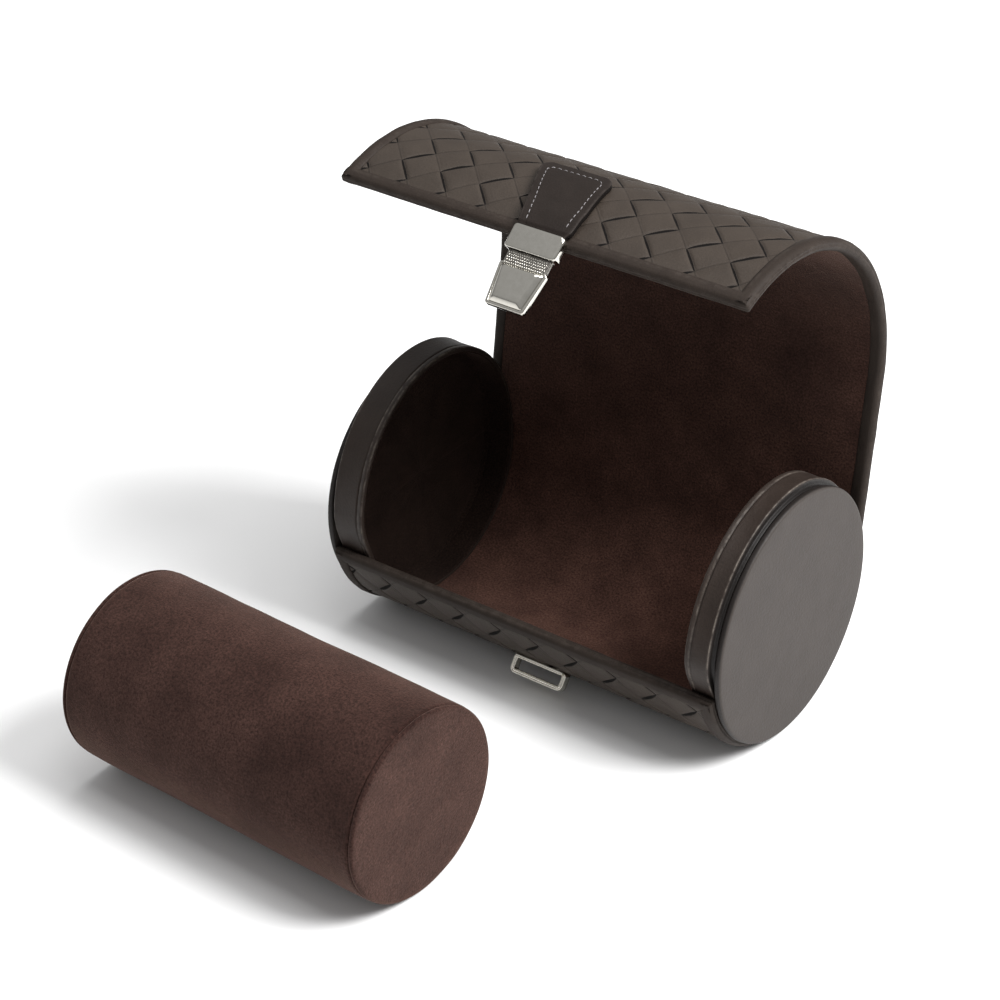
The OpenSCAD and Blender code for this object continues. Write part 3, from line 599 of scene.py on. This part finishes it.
for number, (t1, t2, b1, b2, body_a, body_b) in enumerate(BENDS, 1):
    last = number == len(BENDS)
    cut = END_IN if last else 0
    skin = leather_piece(f"lid_skin_{number}", t1, t2 - cut)
    lined = lining_piece(f"lid_lining_sheet_{number}", t1, t2 - cut)
    made = [(skin, f"lid_leather_{number}"), (lined, f"lid_lining_{number}")]
    if last:
        made.append((bound_edge("lid_edge_6", *around(t1, t2, 1)), "lid_binding_6"))
    else:
        for side, tag in ((1, "right"), (-1, "left")):
            path = straight(side * HALF, t1, side * HALF, t2, (-side, 0))
            made.append((bound_edge(f"lid_edge_{number}_{tag}", *path), f"lid_binding_{number}"))
    start, end = surface(0, b1, 0) / 1000, surface(0, b2, 0) / 1000
    for piece, cad in made:
        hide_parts(cad)
        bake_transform(piece)

# ------------------------------------------------------------------ end cups
BAND_R = SHELL_R - SHEET - 0.3
DISC_R, DISC_X, DISC_T = 42.0, HALF + 0.3, 2.2
# Each soft wall stands out on top and in front, and its rim lies this far along the case
SWELL = {"right": (4.1, 3.8), "left": (7.0, 2.4)}
RIM_AT = {"right": HALF - 9.6, "left": HALF - 12.4}


def swell(turn, tag):
    """How far the free part of a cup's soft wall stands out, round its turn."""
    top, front = SWELL[tag]
    degrees = np.degrees(turn)
    out = top + (front - top) * smoothstep(95, 190, degrees)
    return out * smoothstep(0, 85, degrees) * smoothstep(199, 174, degrees)


def outwards(along, out, turn):
    """Moves of a turned piece's points: along the case, and out from its axis."""
    return np.stack([along, out * np.cos(turn), out * np.sin(turn)], -1)


for side, tag in ((1, "right"), (-1, "left")):
    def soft(ring, r, turn, side=side):
        wave = 0.05 * noise(ring, 16, 31) + 0.03 * noise(ring, 5, 32)
        return outwards(side * wave, 0 * wave, turn)

    # The padded disc: its faintly crowned face, round edge and back
    corner_r, face_r = 0.95, 39.6
    rows = [(r, DISC_X + DISC_T - 0.02 * (r / 40) ** 2) for r in np.linspace(0.05, face_r, 60)]
    rows += arc(DISC_R - corner_r, DISC_X + 2.15 - corner_r, corner_r, 88, 0, 12)
    rows += [(DISC_R, DISC_X + 0.5), (41.9, DISC_X + 0.2), (41.6, DISC_X), (41.0, DISC_X - 0.05)]
    rows += [(30, DISC_X - 0.05)]
    disc = lathe(f"disc_{tag}", rows, side, soft)
    places = np.array(rows)
    # The disc's round side below its face gets painted shade, through the side attribute.
    edge = smoothstep(DISC_X + 1.95, DISC_X + 1.45, places[:, 1]) * (places[:, 0] > 41)
    set_values(disc, "side", np.repeat(edge, TURN_STEPS))
    dress(disc, DISC, "disc_leather", f"end_disc_{tag}")
    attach(disc, "case_base")

    # The leather band: turned in at the disc, hollow along its middle, grooved and rolled at the rim
    inner, rim = BAND_R - 1.9, RIM_AT[tag]
    band = [(BAND_R - 3.0, DISC_X - 0.1), (BAND_R - 2.3, DISC_X - 0.12), (BAND_R - 2.15, DISC_X - 0.3)]
    band += [(BAND_R - 2.1, DISC_X - 0.9), (BAND_R - 2.0, DISC_X - 1.15), (BAND_R - 1.2, DISC_X - 1.25)]
    band += [(BAND_R - 0.25, DISC_X - 1.3)]
    band += arc(BAND_R - 0.35, DISC_X - 1.75, 0.45, 70, -10, 6)
    for f in np.linspace(0, 1, 10):
        hollow = 0.12 * math.sin(math.pi * f)
        band.append((BAND_R - 0.02 - hollow, DISC_X - 2.4 + (rim + 2.6 - DISC_X + 2.4) * f))
    band += [(BAND_R - 0.04, rim + 2.35), (BAND_R - 0.30, rim + 2.15)]
    band += [(BAND_R - 0.34, rim + 1.95), (BAND_R - 0.04, rim + 1.75)]
    band += arc(BAND_R - 0.7, rim + 0.7, 0.7, 30, -90, 9)
    band += arc(inner + 0.55, rim + 0.55, 0.55, -90, -180, 6)
    band += [(inner, rim + 1.8), (inner + 0.3, rim + 2.2)]

    def worn_band(ring, r, turn, tag=tag):
        wave = 0.05 * noise(ring, 7, 41) + 0.03 * noise(ring, 2.5, 42)
        return outwards(0.3 * wave, wave + swell(turn, tag), turn)

    cup = lathe(f"band_{tag}", band, side, worn_band)
    r, x = np.array(band).T
    crest = 0.8 * np.exp(-((x - DISC_X + 1.55) / 0.2) ** 2) + np.exp(-((x - rim - 1.6) / 0.2) ** 2)
    crest = np.clip(crest + 0.5 * np.exp(-((x - rim - 0.25) / 0.2) ** 2), 0, 1) * (r > BAND_R - 0.6)
    # The lit factor is a painted highlight: the crests' light colour is made stronger on the side of the
    # turn that faces the lamp.
    lit = np.clip(np.sin(np.linspace(0, 2 * math.pi, TURN_STEPS, endpoint=False) + 0.4), 0, 1)
    set_values(cup, "wear_and_highlight", crest[:, None] * (0.5 + 0.5 * lit))
    # The band's turned-in part in the groove by the disc gets painted shade, through the side attribute.
    set_values(cup, "side", np.repeat(smoothstep(DISC_X - 1.4, DISC_X - 1.25, x), TURN_STEPS))
    dress(cup, BAND, "smooth_leather", f"cup_band_{tag}")

    # The suede pocket: from under the rim down the wall, round the corner and over the bottom
    bottom, fillet = DISC_X - 4.2, 1.28
    wall = [(inner + 0.25, rim - 0.04), (inner + 0.02, rim - 0.02), (inner - 0.16, rim + 0.16)]
    wall += [(inner - 0.3, rim + 0.6)]
    wall += [(inner - 0.35 - 0.7 * f, rim + 1.0 + (bottom - rim) * f) for f in np.linspace(0, 1, 14)]
    wall += arc(inner - 2.33, bottom, fillet, 0, 88, 7)
    wall += [(r, DISC_X - 2.95) for r in np.linspace(inner - 2.6, 0.05, 60)]

    def nap(ring, r, turn, side=side, tag=tag):
        wave = 0.12 * noise(ring, 9, 51) * (r < 36)
        return outwards(-side * np.abs(wave), swell(turn, tag) * np.minimum(r / 37, 1) ** 3, turn)

    # The board between them, which swells as they do
    thin, face = BAND_R - 1.5, DISC_X - 1.8
    stiff = [(inner + 0.15, rim + 1.0), (thin, rim + 1.0)]
    stiff += [(thin, x) for x in np.linspace(rim + 2, face, 6)]
    stiff += [(r, face) for r in (30, 20, 10, 0.05)] + [(r, DISC_X - 2.6) for r in (0.05, 10, 20, 30)]
    stiff += [(inner + 0.15, x) for x in np.linspace(DISC_X - 2.6, rim + 2, 6)]
    stiff += stiff[:1]

    def carton(ring, r, turn, tag=tag):
        wave = 0.02 * noise(ring, 4, 55)
        return outwards(wave, (swell(turn, tag) + wave) * np.minimum(r / 37, 1) ** 3, turn)

    board = dress(lathe(f"cup_carton_{tag}", stiff, side, carton), BOARD, "board", f"cup_board_{tag}")
    pocket = dress(lathe(f"cup_suede_{tag}", wall, side, nap), POCKET, "suede_lining", f"cup_lining_{tag}")
    for piece in (cup, pocket, board):
        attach(piece, "case_base")
        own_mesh(piece)

# ------------------------------------------------------------------ cushion
CUSHION_R, CUSHION_L = 30.8, 116.0
YAW = math.radians(-2)
MIDDLE = np.array([-23.7, -130.0, CUSHION_R])


def on_cushion(x, r, turn):
    """Points of the cushion from the place along its axis, radius and turn."""
    local = np.stack(np.broadcast_arrays(x, r * np.cos(turn), r * np.sin(turn)), -1)
    c, s = math.cos(YAW), math.sin(YAW)
    spin = np.array([[c, -s, 0], [s, c, 0], [0, 0, 1]])
    return local @ spin.T + MIDDLE


def cushion_rings(name, profile, amount):
    """Turns a profile of (x, radius), dents it by that amount and flattens it where it lies."""
    profile = np.asarray(profile, float)
    turn = np.linspace(0, 2 * math.pi, 256, endpoint=False)
    x, r = profile[:, :1] + 0 * turn, profile[:, 1:] + 0 * turn
    raw = np.stack([x, r * np.cos(turn), r * np.sin(turn)], -1)
    flat = smoothstep(-0.85, -1.0, np.sin(turn)) * 0.25
    seat = np.where(r > CUSHION_R - 3, flat, 0)
    dent = 0.22 * noise(raw, 22, 61) + 0.10 * noise(raw, 8, 62)
    r2 = r + (dent * amount - 0.12) * (r > 5) - seat
    return loft(name, on_cushion(x, r2, turn), np.stack([turn * 30 + 0 * x, x], -1), caps=False)


seam = CUSHION_L / 2 - 1.6
body = [(-seam, 26.0), (-seam, 29.6), (-seam + 0.05, 30.2), (-seam + 0.35, 30.6), (-seam + 0.9, 30.8)]
body += [(x, CUSHION_R) for x in np.linspace(-seam + 1.6, seam - 1.6, 96)]
body += [(-x, r) for x, r in body[4::-1]]
sleeve = cushion_rings("cushion_sleeve", body, 1.0)
cover = dress(sleeve, CUSHION, "cushion_suede", "cushion_cover", "cushion_foam")
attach(cover, "watch_cushion")
for side, tag in ((1, "right"), (-1, "left")):
    cap = [(seam + 0.02, 26.0), (seam + 0.02, 29.5), (seam + 0.10, 30.25)]
    for a in np.radians(np.linspace(-20, 80, 9)):
        cap.append((seam + 0.6 + 0.95 * math.sin(a), 29.7 + 0.95 * math.cos(a)))
    for r in np.linspace(28.6, 0.05, 50):
        cap.append((CUSHION_L / 2 - 0.05 + 0.03 * (1 - (r / 29) ** 2), r))
    end = cushion_rings(f"cushion_disc_{tag}", [(side * x, r) for x, r in cap], 0.8)
    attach(dress(end, CUSHION, "cushion_suede", f"cushion_end_{tag}"), "watch_cushion")

# ------------------------------------------------------------------ tab
TAB_LEN, TAB_W, NECK_W, TAB_T = 31.3, 26.6, 19.0, 2.0
# The clasp's turn where it hangs from the lid, and the tab's shear across the lid for each mm of its length
HANG = math.radians(18)
SKEW = 0.335
EDGE_ANGLE = BACK - 2 * math.pi + (T_EDGE - WALL_H) / CURL_R


def tab_line(v):
    """(y, z) on the tab's outer face and its outward normal, v mm before the lid's edge."""
    v = np.asarray(v, float)
    lift = 0.1 + 0.9 * smoothstep(12.0, 4.6, v)
    t = T_EDGE - np.maximum(v, 0)
    on_lid = section(t, -(lift + TAB_T))
    pivot = section(T_EDGE, FOLD_DEPTH)
    tangent = np.array([-math.sin(EDGE_ANGLE), math.cos(EDGE_ANGLE)])
    outward = np.array([math.cos(EDGE_ANGLE), math.sin(EDGE_ANGLE)])
    swing = HANG * smoothstep(0.6, -1.0, v)[..., None]
    direction = tangent * np.cos(HANG) - outward * np.sin(HANG)
    past = pivot + direction * np.maximum(-v, 0)[..., None]
    points = np.where((v > 0)[..., None], on_lid, past)
    ahead = BACK - 2 * math.pi + (t - WALL_H) / CURL_R
    normal = np.stack([np.cos(ahead), np.sin(ahead)], -1)
    side = np.stack([-np.sin(ahead), np.cos(ahead)], -1)
    return points, normal * np.cos(swing) + side * np.sin(swing)


def tab_place(x, v, height):
    """Points of the tab, which lies askew on the lid: x across it, v along it, height off its face."""
    x, v, height = np.broadcast_arrays(*(np.asarray(a, float) for a in (x, v, height)))
    run = np.maximum(v, 0)
    across = x - SKEW * (run - 3.0 * (1 - np.exp(-run / 3.0)))
    back = v + 0.02 * x * smoothstep(4, 20, v)
    points, normals = tab_line(back)
    yz = points + normals * height[..., None]
    return np.concatenate([(across + CLASP_X)[..., None], yz], -1)


def tab_half(v):
    """Half the tab's width at v, with its two far corners rounded off."""
    front = NECK_W / 2 - 0.15
    back = TAB_W / 2
    half = front + (back - front) * np.clip(v / TAB_LEN, 0, 1)
    r = 5.0
    into = np.clip(r - (TAB_LEN - v), 0, r)
    half = half - (r - np.sqrt(np.maximum(r * r - into * into, 0)))
    return np.where(v < 0.4, np.minimum(half, 8.4 + 0.9 * smoothstep(-1.0, 0.4, v)), half)


far_rows = [TAB_LEN - gap for gap in (0.001, 0.03, 0.12, 0.3, 0.6)]
v_line = np.concatenate([far_rows, np.arange(TAB_LEN - 1.0, -4.4, -0.4)])
halves = tab_half(v_line)
rings, uvs, wears, painted_shade_sides = [], [], [], []
cross = np.linspace(-1, 1, 33)
edge = 0.3
for half, v in zip(halves, v_line):
    end_round = min(1.0, (TAB_LEN - v) / 0.5 + 0.55)
    top_x = cross * (half - edge)
    sag = -0.10 * np.exp(-((half - 2.5 - np.abs(top_x)) / 0.45) ** 2)
    loop = [(x, s) for x, s in zip(top_x, sag)]
    turned = np.radians([30, 60, 90])
    loop += [(half - edge + edge * math.sin(a), -edge + edge * math.cos(a)) for a in turned]
    loop += [(half, -1.0), (half, -1.5), (half - 0.2, -1.9), (half - 0.5, -TAB_T), (0, -TAB_T)]
    loop += [(-half + 0.5, -TAB_T), (-half + 0.2, -1.9), (-half, -1.5), (-half, -1.0)]
    loop += [(-half + edge - edge * math.sin(a), -edge + edge * math.cos(a)) for a in turned[::-1]]
    loop = np.array(loop)
    loop[:, 1] = (loop[:, 1] + 1) * end_round - 1
    rings.append(tab_place(loop[:, 0], v, loop[:, 1]))
    uvs.append(np.stack([loop[:, 0], np.full(len(loop), v) + loop[:, 1]], -1))
    wears.append(0.5 * np.exp(-((half - 0.4 - np.abs(loop[:, 0])) / 0.3) ** 2))
    # The tab's sides and underside get painted shade, for the shade under its lifted edge.
    painted_shade_sides.append(smoothstep(-0.10, -0.32, loop[:, 1]) * (v < TAB_LEN - 0.2))
rings = np.array(rings)
rings[..., 1:] += 0.03 * noise(rings, 3, 71)[..., None]
tab = dress(loft("tab_strap", rings, np.array(uvs), {"wear_and_highlight": np.array(wears), "side": np.array(painted_shade_sides)}),
            TAB, "smooth_leather", "tab_leather", "tab_end")
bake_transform(tab)


def seam_line():
    """Points (x, v) of the stitched line round the tab, about 3 mm in from its edge."""
    left, inset, r, far = [], 2.7, 2.6, 3.6
    for v in np.arange(0.8, TAB_LEN - far - r, 0.1):
        left.append((-(float(tab_half(np.array(v))) - inset), v))
    x0 = left[-1][0]
    v0 = left[-1][1]
    bend = [(x0 + r - r * math.cos(a), v0 + r * math.sin(a)) for a in np.radians(np.linspace(5, 90, 20))]
    back = [(x, bend[-1][1]) for x in np.arange(bend[-1][0] + 0.1, 0, 0.1)]
    half = np.array(left + bend + back)
    other = half[::-1] * [-1, 1]
    return np.concatenate([half, other])


line = seam_line()
length = path_length(line)
pitch, stitch = 2.2, 1.45
count = int(length[-1] / pitch)
points, faces = [], []
for n in range(count):
    s = np.linspace(n * pitch + 0.25, n * pitch + 0.25 + stitch, 7)
    xs, vs = np.interp(s, length, line[:, 0]), np.interp(s, length, line[:, 1])
    first = len(points)
    for i, (x, v) in enumerate(zip(xs, vs)):
        f = i / 6
        lift = 0.02 + 0.16 * math.sin(math.pi * f)
        r = 0.17 * (0.55 + 0.45 * math.sin(math.pi * f))
        low, high = max(i - 1, 0), min(i + 1, 6)
        along = np.array([xs[high] - xs[low], vs[high] - vs[low]])
        along = along / np.linalg.norm(along)
        for a in np.linspace(0, 2 * math.pi, 8, endpoint=False):
            o = r * math.cos(a)
            points.append(tab_place(x - along[1] * o, v + along[0] * o, lift + r * math.sin(a) * 0.9 - 0.1))
    for i in range(6):
        for k in range(8):
            a, b = first + i * 8 + k, first + i * 8 + (k + 1) % 8
            faces.append([a, b, b + 8, a + 8])
    faces.append([first + k for k in range(7, -1, -1)])
    faces.append([first + 48 + k for k in range(8)])
stitches = build("tab_stitches", points, faces)
dress(stitches, THREAD, "smooth_leather")
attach(stitches, "lid_front")

# ------------------------------------------------------------------ clasp
PIVOT = np.array([CLASP_X, *section(T_EDGE, FOLD_DEPTH)])
ALONG = np.array([0, -math.sin(EDGE_ANGLE + HANG), math.cos(EDGE_ANGLE + HANG)])
OUT = np.array([0, math.cos(EDGE_ANGLE + HANG), math.sin(EDGE_ANGLE + HANG)])


def on_clasp(x, y, z):
    """A point of the clasp's own frame: along its width, towards its nose, and outwards."""
    return PIVOT + np.array([x, 0, 0]) + ALONG * (y + 1.3) + OUT * (z - TAB_T / 2)


# Five rows of beads on the neck, each row half a bead on from the last
points, faces = [], []
for row in range(5):
    for column in range(18):
        cx = -6.9 + 13.8 * (column + 0.5 * (row % 2)) / 17.5
        cy = 8.55 + 0.86 * row
        first = len(points)
        for ring, (r, z) in enumerate(((0.37, 0.25), (0.32, 0.60), (0.18, 0.80))):
            for a in np.linspace(0, 2 * math.pi, 8, endpoint=False):
                points.append(on_clasp(cx + r * math.cos(a) * 0.92, cy + r * math.sin(a), z))
        points.append(on_clasp(cx, cy, 0.85))
        for ring in range(2):
            for k in range(8):
                a, b = first + ring * 8 + k, first + ring * 8 + (k + 1) % 8
                faces.append([a, b, b + 8, a + 8])
        faces += [[first + 16 + k, first + 16 + (k + 1) % 8, first + 24] for k in range(8)]
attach(dress(build("neck_beads", points, faces), NICKEL, "nickel"), "catch")

FERRULE_L, FERRULE_W, FERRULE_T, NECK_L = 7.8, 18.4, 4.2, 4.0
NOSE_L, NOSE_W, NOSE_TIP_W = 13.8, 17.2, 13.6


def rounded(corners, r, count):
    """Outline through convex corners, anticlockwise, each rounded off to r."""
    corners = np.asarray(corners, float)
    out = []
    for k, p in enumerate(corners):
        before, after = corners[k - 1] - p, corners[(k + 1) % len(corners)] - p
        before, after = before / np.linalg.norm(before), after / np.linalg.norm(after)
        half = math.acos(float(np.clip(before @ after, -1, 1))) / 2
        middle = (before + after) / np.linalg.norm(before + after)
        centre = p + middle * r / math.sin(half)
        a1 = math.atan2(*(p + before * r / math.tan(half) - centre)[::-1])
        a2 = math.atan2(*(p + after * r / math.tan(half) - centre)[::-1])
        turn = (a2 - a1 + math.pi) % (2 * math.pi) - math.pi
        for a in a1 + turn * np.linspace(0, 1, count):
            out.append(centre + r * np.array([math.cos(a), math.sin(a)]))
    return np.array(out)


# The wedge: a raised pad with sloping sides inside a polished rim
rings = []
for inset, z, r in ((2.2, -1.60, 0.6), (0.35, -1.60, 0.9), (0.06, -1.45, 0.9), (0.0, -1.15, 0.9),
                    (0.0, 0.30, 0.9), (0.08, 0.52, 0.85), (0.28, 0.64, 0.8), (0.72, 0.66, 0.7),
                    (0.82, 0.62, 0.65), (0.88, 0.40, 0.6), (0.96, 0.40, 0.6), (1.02, 0.62, 0.6),
                    (1.12, 0.78, 0.6), (2.20, 1.66, 0.8), (2.35, 1.76, 0.8), (2.60, 1.86, 0.8),
                    (2.90, 1.90, 0.8), (4.6, 1.92, 0.6)):
    w1, w2 = NOSE_W / 2 - inset, NOSE_TIP_W / 2 - inset
    y1, y2 = FERRULE_L + NECK_L + 0.6 * inset, FERRULE_L + NECK_L + NOSE_L - inset
    plan = rounded([(-w1, y1), (w1, y1), (w2, y2), (-w2, y2)], r, 5)
    rings.append([on_clasp(x, y, z) for x, y in plan])
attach(dress(loft("nose", rings), NICKEL, "nickel", "clasp_nose"), "catch")

# The ferrule: a flat tube with soft edges and corners, rolled in at both mouths
rings = []
wall = 0.6
for y, inset in ((0.5, wall), (0.14, 0.56), (0.0, 0.42), (0.0, 0.26), (0.09, 0.09), (0.35, 0.0),
                 (0.8, 0.0), (2.0, 0.0), (4.0, 0.0), (6.0, 0.0), (7.0, 0.0), (7.45, 0.0),
                 (7.71, 0.09), (7.8, 0.26), (7.8, 0.42), (7.66, 0.56), (7.3, wall)):
    end = min(y, FERRULE_L - y)
    pinch = 1.0 - math.sqrt(max(0.0, 1 - max(0.0, 1 - end) ** 2))
    w, h = FERRULE_W / 2 - inset - pinch * (inset < 0.5), FERRULE_T / 2 - inset
    loop = rounded([(-w, -h), (w, -h), (w, h), (-w, h)], max(0.35, 1.0 - inset), 7)
    rings.append([on_clasp(x, y, z) for x, z in loop])
# The inner wall meets itself halfway down the tube
rings.append([on_clasp(x, FERRULE_L / 2, z) for x, z in loop])
rings.insert(0, rings[-1])
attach(dress(loft("ferrule", rings, caps=False), NICKEL, "nickel", "clasp_ferrule"), "clasp")

# ------------------------------------------------------------------ keeper
KEEPER_TURN = math.radians(180 + 47.3)
KEEPER_TILT = math.radians(7)
# The window in the loop, the loop's depth, and the height of the window above the skin
WINDOW_W, WINDOW_H, KEEPER_D, FOOT_TOP = 17.4, 4.2, 3.4, 0.75


def on_skin(x, y, z):
    """A point of the keeper's own frame: across, down along the skin, and outwards."""
    r = SHELL_R + z
    return np.array([CLASP_X - x,
                     r * math.cos(KEEPER_TURN) - y * math.sin(KEEPER_TURN),
                     AXIS_Z + r * math.sin(KEEPER_TURN) + y * math.cos(KEEPER_TURN)])


def on_keeper(x, y, z):
    """A point of the tilted loop: across, from its front to its back, and out from its foot."""
    y, z = (y * math.cos(KEEPER_TILT) + z * math.sin(KEEPER_TILT) - KEEPER_D / 2,
            z * math.cos(KEEPER_TILT) - y * math.sin(KEEPER_TILT) + FOOT_TOP)
    return on_skin(x, y, z)


window = [(-WINDOW_W / 2, 0), (WINDOW_W / 2, 0), (WINDOW_W / 2, WINDOW_H), (-WINDOW_W / 2, WINDOW_H)]
inner = rounded(window, 0.5, 7)
rings = []
for k, p in enumerate(inner):
    tangent = inner[(k + 1) % len(inner)] - inner[k - 1]
    normal = np.array([tangent[1], -tangent[0]]) / np.linalg.norm(tangent)
    # The bar is thinner along the skin, and a groove runs round its front
    bar = 1.45 - 0.8 * float(smoothstep(0.2, 0.95, -normal[1]))
    loop = [(0.0, 0.3), (0.08, 0.1), (0.28, 0.0), (0.52 * bar, 0.0), (0.56 * bar, 0.18), (0.64 * bar, 0.18),
            (0.68 * bar, 0.0), (bar - 0.28, 0.02), (bar - 0.08, 0.1), (bar, 0.3), (bar, KEEPER_D - 0.25),
            (bar - 0.25, KEEPER_D), (0.25, KEEPER_D), (0.0, KEEPER_D - 0.25)]
    rings.append([on_keeper(p[0] + normal[0] * r, y, p[1] + normal[1] * r) for r, y in loop])
rings.append(rings[0])
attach(dress(loft("keeper_bow", rings, caps=False), LIT_NICKEL, "nickel", "keeper_loop"), "case_base")

# The ledge along the loop's front, on the skin
rings = []
for inset, z in ((0.3, 0.05), (0.08, 0.12), (0.0, 0.3), (0.0, 1.1), (0.08, 1.28), (0.3, 1.36)):
    w, front, back = 9.1 - inset, -2.95 + inset, -1.35 - inset
    plan = rounded([(-w, front), (w, front), (w, back), (-w, back)], 0.25, 5)
    rings.append([on_skin(x, y, z) for x, y in plan])
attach(dress(loft("keeper_foot", rings), LIT_NICKEL, "nickel"), "case_base")

# ------------------------------------------------------------------ CAD nodes that stay
METAL = {"clasp_tongue": DULL}
for name in ("ferrule_rivets", "catch_pin", "catch_spring", "keeper_backplate", "keeper_rivets"):
    METAL[name] = NICKEL
for name, node in NODES.items():
    if node.hide_render:
        continue
    node.data.materials.clear()
    node.data.materials.append(METAL.get(name, BOARD))

# The tongue's edges are slightly rounded, so that they catch the light
tongue = NODES["clasp_tongue"]
weld = tongue.modifiers.new("weld", "WELD")
weld.merge_threshold = 0.000005
bevel = tongue.modifiers.new("soft", "BEVEL")
bevel.width = 0.00008
bevel.segments = 3
bevel.limit_method = "ANGLE"
bevel.angle_limit = math.radians(28)
bevel.harden_normals = True

# ------------------------------------------------------------------ floor, light, camera
def area_light(name, place, aim, size, power):
    """A square lamp of that size in metres and power in watts."""
    data = bpy.data.lights.new(name, "AREA")
    data.size = size
    data.energy = power
    lamp = bpy.data.objects.new(name, data)
    lamp.location = place
    lamp.rotation_mode = "QUATERNION"
    lamp.rotation_quaternion = (Vector(aim) - Vector(place)).to_track_quat("-Z", "Y")
    bpy.context.scene.collection.objects.link(lamp)


reach = 6000
floor_corners = [(-reach, -reach, 0), (reach, -reach, 0), (reach, reach, 0), (-reach, reach, 0)]
floor = build("floor", floor_corners, [[0, 1, 2, 3]], smooth=False)
floor_mat, nodes, links, shader = principled("floor_paper", Roughness=0.9, Specular_IOR_Level=0.1)
fac = noise_node(nodes, links, mapped(nodes, links), 2, 2)
paper = ramp(nodes, links, fac, [(0.3, grey(0.90)), (0.7, grey(0.92))])
links.new(paper, shader.inputs["Base Color"])
floor.data.materials.append(floor_mat)

world = bpy.data.worlds.new("studio")
bpy.context.scene.world = world
world.use_nodes = True
nodes, links = world.node_tree.nodes, world.node_tree.links
sky = nodes.new("ShaderNodeTexCoord")
split = nodes.new("ShaderNodeSeparateXYZ")
links.new(sky.outputs["Generated"], split.inputs[0])
shade = ramp(nodes, links, split.outputs[2], [(0.0, grey(0.55)), (0.25, grey(0.80)), (0.9, grey(1.2))])
links.new(shade, nodes["Background"].inputs["Color"])
nodes["Background"].inputs["Strength"].default_value = 0.42

area_light("key", (1.15, 0.28, 1.35), (0, 0, 0.03), 0.8, 46)
area_light("top", (0.1, 0.0, 1.8), (0, 0, 0), 1.2, 15)

# The camera that was fitted to the photo's outlines
AZ, EL, DISTANCE = math.radians(36.86), math.radians(30.99), 0.917
SENSOR, LENS_SHARE = 36, 2.79284
aim = Vector((-0.03718, 0, 0.04355))
back = Vector((math.sin(AZ) * math.cos(EL), -math.cos(AZ) * math.cos(EL), math.sin(EL)))
camera = bpy.data.objects.new("camera", bpy.data.cameras.new("camera"))
camera.data.sensor_width = SENSOR
camera.data.lens = SENSOR * LENS_SHARE
camera.data.clip_start, camera.data.clip_end = 0.01, 50
camera.location = aim + back * DISTANCE
camera.rotation_mode = "QUATERNION"
camera.rotation_quaternion = (-back).to_track_quat("-Z", "Y")
bpy.context.scene.collection.objects.link(camera)
bpy.context.scene.camera = camera

bpy.context.scene.view_settings.view_transform = "Standard"
